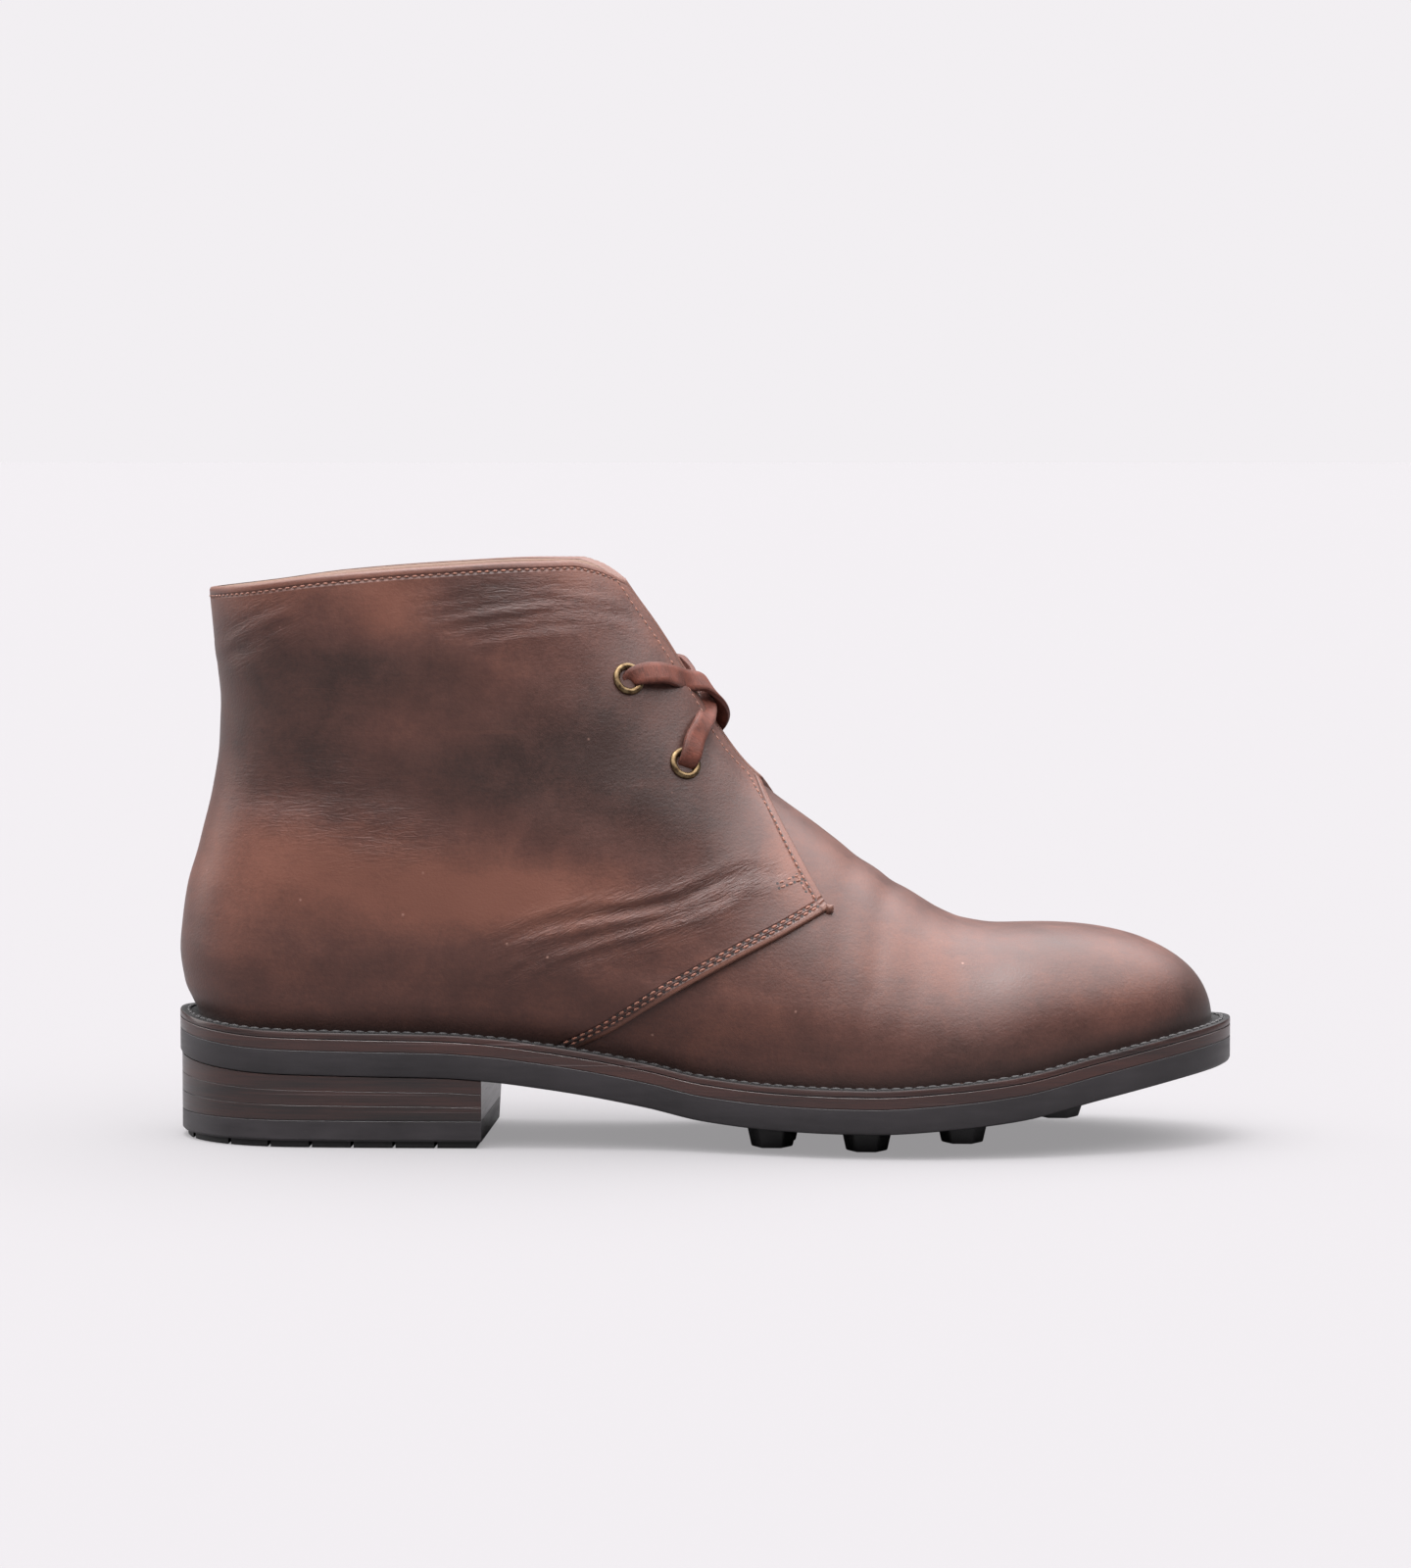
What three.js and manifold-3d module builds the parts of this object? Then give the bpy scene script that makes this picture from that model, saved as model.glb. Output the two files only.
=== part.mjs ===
// A chukka boot for the right foot, in millimetres.
// +Z is up, the toe points along +X, the outer side is -Y and the inner side +Y.
// Everything is worked out from the back of the sole at x = 0 and the floor at z = 0,
// and the finished group is moved so that its origin is the bottom centre of its box.
import * as THREE from "three";
import { mergeVertices } from "three/addons/utils/BufferGeometryUtils.js";
import Module from "manifold-3d";

const wasm = await Module();
wasm.setup();

// Driving sizes of the whole boot
const soleLength = 307;
const ballWidth = 108;
const heelWidth = 74;
const shaftHeight = 151; // top of the collar above the bed at the ball
const seatRise = 13.7; // bed under the heel above the bed at the ball
const toeSpring = 15.5; // bed at the toe above the bed at the ball

// Upper
const wall = 2.2;
const quarterStep = 1.5; // how far the quarters stand proud of the vamp
const quarterStepRise = 12; // height over which the step grows out of the welt
const throatGap = 7;
const tongueWall = 1.8;
const tongueWidth = 52;

// Sole
const weltReach = 5.3; // sole's edge beyond the upper
const weltThickness = 2;
const midsoleThickness = 2.8;
const outsoleThickness = 7.2;
const forefootRise = 6.9; // outsole's edge above the floor at the ball
const treadCrown = 3.2; // how far the tread bulges below the outsole's edge
const insoleThickness = 3;
const studSize = 15;
const studPitch = 27;
const studDepth = 4.5;
const studRows = 4;
const studColumns = 4;

// Heel
const heelLength = 90;
const heelInset = 0.5; // heel's sides inside the outsole's edge
const topPieceHeight = 8; // rubber top piece with its ribs
const heelRibDepth = 2;
const heelRibPitch = 12;
const heelRibWidth = 8.5;
const heelRibInset = 1.6;
const liftCount = 3;
const innerCornerCut = 9;

// Eyelets and lace
const eyeletHoleRadius = 2.8;
const eyeletBarrelRadius = 3.5;
const eyeletFlangeRadius = 4.75;
const eyeletFlangeThickness = 0.9;
const laceWidth = 6.4;
const laceThickness = 1.8;

// Clearances
const gap = 0.3; // between neighbouring pieces
const beyond = 10; // how far a cutting shape reaches past what it cuts

// Mesh fineness
const ringCount = 23;
const halfRing = 24;
const laceSteps = 28;
const treadStrips = 4;
const roundSides = 14; // of an eyelet

// Lengths that follow from the driving sizes
const lastLength = soleLength - 2 * weltReach;
const bedAtBall = forefootRise + outsoleThickness + gap + midsoleThickness;

// Height of the bed, the midsole's top. at is a share of the last's length from its back,
// heel a share of the seat's rise and toe a share of the toe spring.
const bedRows = [
  { at: -0.02, heel: 1.32, toe: 0 },
  { at: 0.02, heel: 1.15, toe: 0 },
  { at: 0.08, heel: 1.04, toe: 0 },
  { at: 0.16, heel: 1.0, toe: 0 },
  { at: 0.25, heel: 0.97, toe: 0 },
  { at: 0.3, heel: 0.9, toe: 0 },
  { at: 0.35, heel: 0.77, toe: 0 },
  { at: 0.4, heel: 0.61, toe: 0 },
  { at: 0.455, heel: 0.39, toe: 0 },
  { at: 0.51, heel: 0.15, toe: 0 },
  { at: 0.59, heel: 0.02, toe: 0 },
  { at: 0.67, heel: 0, toe: 0 },
  { at: 0.745, heel: 0, toe: 0.085 },
  { at: 0.815, heel: 0, toe: 0.24 },
  { at: 0.89, heel: 0, toe: 0.56 },
  { at: 0.97, heel: 0, toe: 0.87 },
  { at: 1.02, heel: 0, toe: 1.02 },
];

// Half-widths of the last. middle is the centre line's offset to the inner side, outer and
// inner are half-widths at the bed, all as shares of the ball's width. swell is what the side
// gains up to its girth, and top the half-width of the shaft, as a share of the heel's width.
const widthRows = [
  { at: 0.0, middle: 0.028, outer: 0.283, inner: 0.283, swell: 0.028, top: 0.52 },
  { at: 0.2, middle: 0.028, outer: 0.295, inner: 0.29, swell: 0.03, top: 0.52 },
  { at: 0.33, middle: 0.026, outer: 0.287, inner: 0.272, swell: 0.045, top: 0.52 },
  { at: 0.45, middle: 0.022, outer: 0.296, inner: 0.258, swell: 0.07, top: 0.53 },
  { at: 0.56, middle: 0.022, outer: 0.375, inner: 0.322, swell: 0.045, top: 0.6 },
  { at: 0.645, middle: 0.025, outer: 0.441, inner: 0.385, swell: 0.02, top: 0.64 },
  { at: 0.72, middle: 0.032, outer: 0.456, inner: 0.417, swell: 0.014, top: 0.66 },
  { at: 0.8, middle: 0.048, outer: 0.436, inner: 0.405, swell: 0.014, top: 0.64 },
  { at: 0.88, middle: 0.068, outer: 0.405, inner: 0.37, swell: 0.014, top: 0.6 },
  { at: 1.0, middle: 0.075, outer: 0.385, inner: 0.35, swell: 0.014, top: 0.55 },
];

// Front line of the last in its side view, from above the collar down over the instep to
// the toe's roof. up is a share of the shaft's height above the bed at the ball. fullness is
// the roundness of the section across the foot.
const frontRows = [
  { at: 0.0, up: 2.24, fullness: 3.0 },
  { at: 0.3, up: 1.325, fullness: 2.8 },
  { at: 0.428, up: 0.934, fullness: 2.5 },
  { at: 0.455, up: 0.86, fullness: 2.4 },
  { at: 0.491, up: 0.747, fullness: 2.3 },
  { at: 0.513, up: 0.673, fullness: 2.2 },
  { at: 0.539, up: 0.604, fullness: 2.15 },
  { at: 0.563, up: 0.561, fullness: 2.1 },
  { at: 0.612, up: 0.489, fullness: 2.1 },
  { at: 0.662, up: 0.414, fullness: 2.1 },
  { at: 0.719, up: 0.341, fullness: 2.15 },
  { at: 0.756, up: 0.305, fullness: 2.2 },
  { at: 0.79, up: 0.296, fullness: 2.3 },
  { at: 0.83, up: 0.298, fullness: 2.4 },
  { at: 1.0, up: 0.3, fullness: 2.5 },
];

// Back line of the last. back is where it lies and round the length over which the back is
// rounded, as shares of the heel's width.
const backRows = [
  { up: 0.05, back: 0.025, round: 0.46 },
  { up: 0.125, back: 0.025, round: 0.46 },
  { up: 0.15, back: 0.012, round: 0.47 },
  { up: 0.185, back: -0.008, round: 0.48 },
  { up: 0.25, back: -0.024, round: 0.5 },
  { up: 0.3, back: -0.017, round: 0.52 },
  { up: 0.37, back: 0.007, round: 0.55 },
  { up: 0.45, back: 0.052, round: 0.6 },
  { up: 0.56, back: 0.108, round: 0.66 },
  { up: 0.64, back: 0.133, round: 0.68 },
  { up: 0.71, back: 0.139, round: 0.68 },
  { up: 0.79, back: 0.127, round: 0.66 },
  { up: 0.94, back: 0.098, round: 0.62 },
  { up: 1.1, back: 0.07, round: 0.6 },
];

// Topline of the collar, from the back seam to the corner at the top of the facing
const toplineRows = [
  { at: -0.1, up: 0.925 },
  { at: 0.03, up: 0.942 },
  { at: 0.07, up: 0.95 },
  { at: 0.14, up: 0.968 },
  { at: 0.25, up: 0.985 },
  { at: 0.34, up: 0.993 },
  { at: 0.375, up: 0.993 },
  { at: 0.395, up: 0.983 },
  { at: 0.413, up: 0.964 },
  { at: 0.432, up: 0.934 },
  { at: 0.46, up: 0.88 },
  { at: 0.7, up: 0.45 },
];

// Front edge of the quarters in the side view: the facing line from above the collar to its
// lower corner, then the vamp seam from there back and down past the welt
const facingTop = { at: 0.404, up: 1.06 };
const facingCorner = { at: 0.628, up: 0.342 };
const seamRows = [
  { at: 0.587, up: 0.295 },
  { at: 0.531, up: 0.241 },
  { at: 0.475, up: 0.181 },
  { at: 0.437, up: 0.139 },
  { at: 0.396, up: 0.094 },
  { at: 0.34, up: 0.02 },
];
const throatEnd = { at: 0.55, up: 0.585 }; // lower end of the gap between the facings
const tongueTop = { at: 0.395, up: 0.93 };
const tongueEnd = { at: 0.62, up: 0.4 };
const tongueBack = { at: -0.11, up: -0.05 }; // from the front line to the tongue's side edges

// Eyelet centres in the side view, the same on both quarters
const eyeletRows = [
  { name: "top", at: 0.4335, up: 0.7695 },
  { name: "bottom", at: 0.488, up: 0.6105 },
];

// Roundings of the last
const toeStart = 0.79; // share of the last's length where the toe starts to close in plan
const toePower = 2.05;
const roofStart = 0.83; // the same in the side view
const roofPower = 2.4;
const heelPower = 2.15;
const swellRise = 26; // height over which the side swells from the bed to its girth
const shaftStart = 0.3; // shares of the shaft's height between which the foot's half-width
const shaftEnd = 0.9; // turns into the shaft's
const rimRise = 8; // how far the last goes on above the collar's highest point
const ringTurnLength = 42; // length over which a ring turns to meet the front line squarely

// How far the tread's crown, as a share, reaches along the sole
const crownRows = [
  { at: 0.36, crown: 0 },
  { at: 0.5, crown: 0.6 },
  { at: 0.58, crown: 1 },
  { at: 0.68, crown: 1 },
  { at: 0.8, crown: 0.35 },
  { at: 0.92, crown: 0 },
];
const firstStudAt = 0.575; // centre of the first row of studs
const studSpread = 0.73; // outermost studs, as a share of the half-width

const colours = {
  leather: 0x6a4136,
  tongue: 0x5c382e,
  lining: 0xc9a98c,
  black: 0x1d1a1b,
  stack: 0x3a2420,
  rubber: 0x343134,
  brass: 0x8f7442,
  lace: 0x7c4638,
};

const xAt = (at) => weltReach + at * lastLength;
const zUp = (up) => bedAtBall + up * shaftHeight;
const clampShare = (t) => Math.min(1, Math.max(0, t));
const smooth = (t) => clampShare(t) ** 2 * (3 - 2 * clampShare(t));
const mix = (a, b, t) => a + (b - a) * t;
const superRound = (t, power) => (1 - clampShare(t) ** power) ** (1 / power);

// A smooth curve through a table's rows that never swings past them
function curveThrough(rows, along, value) {
  const xs = rows.map(along);
  const ys = rows.map(value);
  const last = xs.length - 1;
  const slopes = xs.slice(1).map((x, i) => (ys[i + 1] - ys[i]) / (x - xs[i]));
  const tangentAt = (i) => {
    if (i === 0) return slopes[0];
    if (i === last) return slopes[last - 1];
    const product = slopes[i - 1] * slopes[i];
    return product <= 0 ? 0 : (2 * product) / (slopes[i - 1] + slopes[i]);
  };
  const tangents = xs.map((x, i) => tangentAt(i));
  return (x) => {
    if (x <= xs[0]) return ys[0] + slopes[0] * (x - xs[0]);
    if (x >= xs[last]) return ys[last] + slopes[last - 1] * (x - xs[last]);
    const i = xs.findIndex((next) => next > x) - 1;
    const span = xs[i + 1] - xs[i];
    const t = (x - xs[i]) / span;
    const rise = ys[i + 1] - ys[i];
    const bend = t * (1 - t) * span;
    return ys[i] + rise * t * t * (3 - 2 * t) + bend * ((1 - t) * tangents[i] - t * tangents[i + 1]);
  };
}

const alongFoot = (row) => xAt(row.at);
const upShaft = (row) => zUp(row.up);
const column = (rows, along, name, scale) => curveThrough(rows, along, (row) => row[name] * scale);

const heelPart = column(bedRows, alongFoot, "heel", seatRise);
const toePart = column(bedRows, alongFoot, "toe", toeSpring);
const bed = (x) => bedAtBall + heelPart(x) + toePart(x);

const middleLine = column(widthRows, alongFoot, "middle", ballWidth);
const outerWidth = column(widthRows, alongFoot, "outer", ballWidth);
const innerWidth = column(widthRows, alongFoot, "inner", ballWidth);
const swellWidth = column(widthRows, alongFoot, "swell", ballWidth);
const shaftWidth = column(widthRows, alongFoot, "top", heelWidth);
const fullness = column(frontRows, alongFoot, "fullness", 1);
const openFront = curveThrough(frontRows, alongFoot, upShaft);
const backOffset = column(backRows, upShaft, "back", heelWidth);
const backRound = column(backRows, upShaft, "round", heelWidth);
const topline = curveThrough(toplineRows, alongFoot, upShaft);
const crownShare = column(crownRows, alongFoot, "crown", 1);

const lastEnd = xAt(1);
const backLine = (z) => weltReach + backOffset(z);

// The last's front line with the toe's rounding
function frontLine(x) {
  const start = xAt(roofStart);
  const round = superRound((x - start) / (lastEnd - start), roofPower);
  return bed(x) + (openFront(x) - bed(x)) * round;
}

// Half-width of the last at a point of its side view. side is -1 outer, 1 inner.
function halfWidth(x, z, side) {
  const rise = z - bed(x);
  const atBed = side < 0 ? outerWidth(x) : innerWidth(x);
  const foot = atBed + swellWidth(x) * smooth(rise / swellRise);
  const shaft = smooth((z - zUp(shaftStart)) / (zUp(shaftEnd) - zUp(shaftStart)));
  const flat = mix(foot, shaftWidth(x), shaft);
  const back = superRound(1 - (x - backLine(z)) / backRound(z), heelPower);
  const front = superRound(rise / Math.max(frontLine(x) - bed(x), 0.01), fullness(x));
  const toe = superRound((x - xAt(toeStart)) / (lastEnd - xAt(toeStart)), toePower);
  return flat * back * front * toe;
}

// The point of the last's surface at a side view point, with side 0 on the middle line
function surfacePoint(x, z, side) {
  const width = side === 0 ? 0 : halfWidth(x, z, side);
  return new THREE.Vector3(x, middleLine(x) + side * width, z);
}

// Points at equal steps of the front line, from the toe's foot to above the collar, each
// with the direction that leads square into the last
function frontPoints(count) {
  const topHeight = zUp(1) + rimRise;
  const samples = 400;
  const fine = [new THREE.Vector2(lastEnd, bed(lastEnd))];
  for (let i = 1; i <= samples && fine.at(-1).y < topHeight; i++) {
    const x = mix(lastEnd, xAt(0.3), (i / samples) ** 3);
    fine.push(new THREE.Vector2(x, frontLine(x)));
  }
  const lengths = [0];
  for (let i = 1; i < fine.length; i++) {
    lengths.push(lengths[i - 1] + fine[i].distanceTo(fine[i - 1]));
  }
  const points = [];
  for (let k = 0; k <= count; k++) {
    const wanted = (k / count) * lengths.at(-1);
    const i = Math.max(1, lengths.findIndex((length) => length >= wanted - 1e-6));
    const t = clampShare((wanted - lengths[i - 1]) / (lengths[i] - lengths[i - 1]));
    const ahead = fine[i].clone().sub(fine[i - 1]).normalize();
    const inward = new THREE.Vector2(-ahead.y, ahead.x);
    points.push({ place: fine[i - 1].clone().lerp(fine[i], t), inward });
  }
  return points;
}

// One ring's line in the side view: from the back line it runs level, follows the bed where
// it is low, and turns to meet the front line squarely
function ringLine(share, front) {
  const backZ = mix(bed(weltReach), zUp(1) + rimRise, share);
  const start = new THREE.Vector2(backLine(backZ), backZ);
  const { place, inward } = front;
  const room = (0.7 * (place.y - bed(place.x))) / Math.max(-inward.y, 0.2);
  const square = place.clone().addScaledVector(inward, Math.min(ringTurnLength, room));
  const turn = square.lerp(start.clone().lerp(place, 0.5), smooth(2 * share - 1));
  const curve = new THREE.QuadraticBezierCurve(start, turn, place);
  return (along) => {
    const point = curve.getPoint(along);
    const chordShare = clampShare((point.x - weltReach) / lastLength);
    const sag = bed(point.x) - mix(bed(weltReach), bed(lastEnd), chordShare);
    const hold = 1 - Math.min(1, 6 * share) * along ** 3;
    point.y += sag * (1 - share) ** 2 * hold;
    return point;
  };
}

// Rings of the last from below the bed to above the collar. A ring runs from the back along
// the outer side to the front and back along the inner side.
function lastRings() {
  const ringOf = (front, k) => {
    const line = ringLine(k / ringCount, front);
    const ring = [];
    for (let j = 0; j < 2 * halfRing; j++) {
      const side = j % halfRing === 0 ? 0 : j < halfRing ? -1 : 1;
      const { x, y: z } = line((1 - Math.cos((Math.PI * j) / halfRing)) / 2);
      ring.push(surfacePoint(x, z, side));
    }
    return ring;
  };
  const all = frontPoints(ringCount).map(ringOf);
  const below = all[0].map((point) => point.clone().setZ(point.z - beyond));
  return [below, ...all];
}

const rings = lastRings();

// Outward normals of the rings
const ringNormals = rings.map((ring, k) =>
  ring.map((point, j) => {
    const around = ring[(j + 1) % ring.length].clone().sub(ring.at(j - 1));
    const upper = rings[Math.min(k + 1, rings.length - 1)][j];
    const lower = rings[Math.max(k - 1, 0)][j];
    const normal = around.cross(upper.clone().sub(lower)).normalize();
    return k <= 1 ? normal.setZ(0).normalize() : normal;
  }),
);

function meshSolid(points, faces) {
  const geometry = new THREE.BufferGeometry();
  geometry.setAttribute("position", new THREE.Float32BufferAttribute(points.flatMap((p) => p.toArray()), 3));
  geometry.setIndex(faces.flat());
  return solidOf(geometry);
}

// A manifold solid of a closed geometry, turned right side out
function solidOf(geometry) {
  const bare = geometry.clone();
  bare.deleteAttribute("normal");
  bare.deleteAttribute("uv");
  const merged = mergeVertices(bare, 1e-4);
  const vertProperties = new Float32Array(merged.attributes.position.array);
  const index = merged.index.array;
  const corner = (i) => new THREE.Vector3().fromArray(vertProperties, 3 * i);
  const triangles = [];
  let volume = 0;
  for (let i = 0; i < index.length; i += 3) {
    const [a, b, c] = [index[i], index[i + 1], index[i + 2]];
    if (a === b || b === c || c === a) continue;
    triangles.push(a, b, c);
    volume += corner(a).dot(corner(b).cross(corner(c)));
  }
  if (volume < 0) triangles.reverse();
  const triVerts = new Uint32Array(triangles);
  return new wasm.Manifold(new wasm.Mesh({ numProp: 3, vertProperties, triVerts }));
}

function geometryOf(solid) {
  const mesh = solid.getMesh();
  const geometry = new THREE.BufferGeometry();
  geometry.setAttribute("position", new THREE.BufferAttribute(mesh.vertProperties, 3));
  geometry.setIndex(new THREE.BufferAttribute(mesh.triVerts, 1));
  geometry.computeVertexNormals();
  return geometry;
}

// The last as a closed solid, grown outwards by a length that may change with the height
// above the bed
function lastSolid(growth) {
  const ringLength = 2 * halfRing;
  const points = rings.flatMap((ring, k) =>
    ring.map((point, j) => {
      const grown = growth(point.z - bed(point.x));
      return point.clone().addScaledVector(ringNormals[k][j], grown);
    }),
  );
  const faces = [];
  for (let k = 0; k < rings.length - 1; k++) {
    for (let j = 0; j < ringLength; j++) {
      const next = (j + 1) % ringLength;
      const [a, b] = [k * ringLength + j, k * ringLength + next];
      const [c, d] = [b + ringLength, a + ringLength];
      faces.push([a, b, c], [a, c, d]);
    }
  }
  for (const [first, up] of [[0, false], [(rings.length - 1) * ringLength, true]]) {
    for (let j = 0; j < halfRing; j++) {
      const [a, b] = [first + j, first + j + 1];
      const c = first + ((ringLength - j - 1) % ringLength);
      const d = first + ((ringLength - j) % ringLength);
      faces.push(up ? [a, b, c] : [a, c, b], up ? [a, c, d] : [a, d, c]);
    }
  }
  return meshSolid(points, faces);
}

// A solid whose side view is the polygon given as [x, z] points, from y = from to y = to
function sidePrism(polygon, from, to) {
  const shape = new THREE.Shape(polygon.map(([x, z]) => new THREE.Vector2(x, z)));
  const geometry = new THREE.ExtrudeGeometry(shape, { depth: to - from, bevelEnabled: false });
  geometry.rotateX(Math.PI / 2);
  geometry.translate(0, to, 0);
  return solidOf(geometry);
}

function block(low, high) {
  const size = high.map((value, i) => value - low[i]);
  const geometry = new THREE.BoxGeometry(...size);
  geometry.translate(...low.map((value, i) => value + size[i] / 2));
  return solidOf(geometry);
}

// Plan outline of the sole's edge or any line parallel to the last's edge at the bed
function outline(offset) {
  return rings[1].map((point, j) => point.clone().addScaledVector(ringNormals[1][j], offset));
}

// A plate with the plan outline at an offset from the last's edge. top and under give the
// heights at a length x and a share v across, from -1 outer to 1 inner.
function plate(offset, top, under, strips = 1) {
  const edge = outline(offset);
  const points = [];
  const faces = [];
  const perRow = strips + 1;
  for (let j = 0; j <= halfRing; j++) {
    const outer = edge[j];
    const inner = edge[(2 * halfRing - j) % (2 * halfRing)];
    for (let m = 0; m <= strips; m++) {
      const [x, y] = [mix(outer.x, inner.x, m / strips), mix(outer.y, inner.y, m / strips)];
      const across = j === 0 || j === halfRing ? 1 : (2 * m) / strips - 1;
      points.push(new THREE.Vector3(x, y, top(x, across)), new THREE.Vector3(x, y, under(x, across)));
    }
  }
  const id = (j, m, low) => 2 * (j * perRow + m) + low;
  for (let j = 0; j < halfRing; j++) {
    for (let m = 0; m < strips; m++) {
      const [a, b, c, d] = [id(j, m, 0), id(j + 1, m, 0), id(j + 1, m + 1, 0), id(j, m + 1, 0)];
      faces.push([a, b, c], [a, c, d], [a + 1, c + 1, b + 1], [a + 1, d + 1, c + 1]);
    }
    const [a, b] = [id(j, 0, 0), id(j + 1, 0, 0)];
    faces.push([a, a + 1, b + 1], [a, b + 1, b]);
    const [c, d] = [id(j, strips, 0), id(j + 1, strips, 0)];
    faces.push([c, d + 1, c + 1], [c, d, d + 1]);
  }
  return meshSolid(points, faces);
}

const bedOver = (rise) => (x) => bed(x) + rise;
const sideways = ballWidth; // wider than any half of the boot

// What lies under the bed, with the sole's outline so that it fits the midsole's top
const belowBed = (rise) => plate(weltReach, bedOver(rise), bedOver(-2 * beyond));

// Everything above the collar's topline, lowered by a length
function aboveTopline(lowered) {
  const [from, to] = [-beyond, xAt(toplineRows.at(-1).at)];
  const steps = 60;
  const line = [];
  for (let i = 0; i <= steps; i++) {
    const x = mix(from, to, i / steps);
    line.push([x, topline(x) - lowered]);
  }
  const over = zUp(1) + 3 * rimRise;
  return sidePrism([...line, [to, over], [from, over]], -sideways, sideways);
}

const sidePoint = (row) => [xAt(row.at), zUp(row.up)];

function quarterRegion() {
  const over = zUp(1) + 3 * rimRise;
  const under = zUp(seamRows.at(-1).up) - beyond;
  const front = [facingTop, facingCorner, ...seamRows].map(sidePoint);
  const [start, end] = [front[0][0], front.at(-1)[0]];
  const polygon = [[-beyond, over], [start, over], ...front, [end, under], [-beyond, under]];
  return sidePrism(polygon, -sideways, sideways);
}

// The gap between the two facings, from the throat's lower end up through the collar
function throatCut() {
  const [endX, endZ] = sidePoint(throatEnd);
  const [topX, topZ] = sidePoint(facingTop);
  const reach = 2 * beyond;
  const middle = middleLine(endX);
  const polygon = [[endX - reach, endZ], [endX + reach, endZ], [topX + reach, topZ], [topX - reach, topZ]];
  return sidePrism(polygon, middle - throatGap / 2, middle + throatGap / 2);
}

// Place and outward direction on a quarter's surface
function quarterPlace(row, side) {
  const [x, z] = sidePoint(row);
  const step = 0.5;
  const point = surfacePoint(x, z, side);
  const alongX = surfacePoint(x + step, z, side).sub(surfacePoint(x - step, z, side));
  const alongZ = surfacePoint(x, z + step, side).sub(surfacePoint(x, z - step, side));
  const normal = alongX.cross(alongZ).normalize().multiplyScalar(-side);
  return { point: point.addScaledVector(normal, quarterStep), normal };
}

const eyelets = eyeletRows.flatMap((row) =>
  [-1, 1].map((side) => {
    const name = `eyelet_${side < 0 ? "outer" : "inner"}_${row.name}`;
    return { name, ...quarterPlace(row, side) };
  }),
);

function turned(geometry, place) {
  const turn = new THREE.Quaternion().setFromUnitVectors(new THREE.Vector3(0, 1, 0), place.normal);
  geometry.applyQuaternion(turn);
  geometry.translate(...place.point.toArray());
  return geometry;
}

function eyeletBore(place) {
  const radius = eyeletBarrelRadius + gap;
  return solidOf(turned(new THREE.CylinderGeometry(radius, radius, 3 * beyond, roundSides), place));
}

// Growth of the quarters out of the vamp's surface, which starts just inside it at the bed
const quarterGrowth = (rise) => mix(-0.1, quarterStep, smooth(rise / quarterStepRise));

function makeUpper() {
  const vampForm = lastSolid(() => 0);
  const quarterForm = lastSolid(quarterGrowth);
  let upper = vampForm.add(quarterForm.intersect(quarterRegion())).subtract(lastSolid(() => -wall));
  for (const cut of [belowBed(gap), aboveTopline(0), throatCut(), ...eyelets.map(eyeletBore)]) {
    upper = upper.subtract(cut);
  }
  return upper;
}

function makeTongue() {
  const outside = lastSolid(() => -wall - gap);
  const inside = lastSolid(() => -wall - gap - tongueWall);
  const [topX, topZ] = sidePoint(tongueTop);
  const [endX, endZ] = sidePoint(tongueEnd);
  const [deepX, deepZ] = [tongueBack.at * lastLength, tongueBack.up * shaftHeight];
  const polygon = [
    [topX + deepX, topZ + deepZ],
    [endX + deepX, endZ + deepZ],
    [endX + beyond, endZ],
    [topX + 3 * beyond, topZ],
  ];
  const middle = middleLine(xAt(throatEnd.at));
  const region = sidePrism(polygon, middle - tongueWidth / 2, middle + tongueWidth / 2);
  return outside.subtract(inside).intersect(region);
}

// The insole fills the upper's foot to a clearance from its wall
function makeInsole() {
  const sheet = plate(weltReach, bedOver(gap + insoleThickness), bedOver(gap));
  return sheet.intersect(lastSolid(() => -wall - gap));
}

const makeMidsole = () => plate(weltReach, bedOver(0), bedOver(-midsoleThickness));

// The welt is a band of the sole's outline, cut to a clearance from the upper's wall
function makeWelt() {
  const whole = plate(weltReach, bedOver(gap + weltThickness), bedOver(gap));
  return whole.subtract(lastSolid((rise) => Math.max(0, quarterGrowth(rise)) + gap));
}

const outsoleEdge = (x) => bed(x) - midsoleThickness - gap - outsoleThickness;
const treadAt = (x, across) => outsoleEdge(x) - treadCrown * clampShare(crownShare(x)) * (1 - across ** 2);

// A tapered six-sided stud standing on the floor or, under the toe spring, off the tread
function stud(x, side) {
  const across = side * studSpread;
  const y = middleLine(x) + across * (halfWidth(x, bed(x), side) + weltReach);
  const foot = Math.max(0, treadAt(x, across) - studDepth);
  const root = treadAt(x, across) + outsoleThickness / 3;
  const geometry = new THREE.CylinderGeometry(studSize / 2, studSize / 2.5, root - foot, 6);
  geometry.rotateX(Math.PI / 2);
  geometry.translate(x, y, (root + foot) / 2);
  return solidOf(geometry);
}

function makeOutsole() {
  let outsole = plate(weltReach, bedOver(-midsoleThickness - gap), treadAt, treadStrips);
  for (let row = 0; row < studRows; row++) {
    for (let place = 0; place < studColumns; place++) {
      const side = (2 * place) / (studColumns - 1) - 1;
      outsole = outsole.add(stud(xAt(firstStudAt) + row * studPitch, side));
    }
  }
  return outsole;
}

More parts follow.
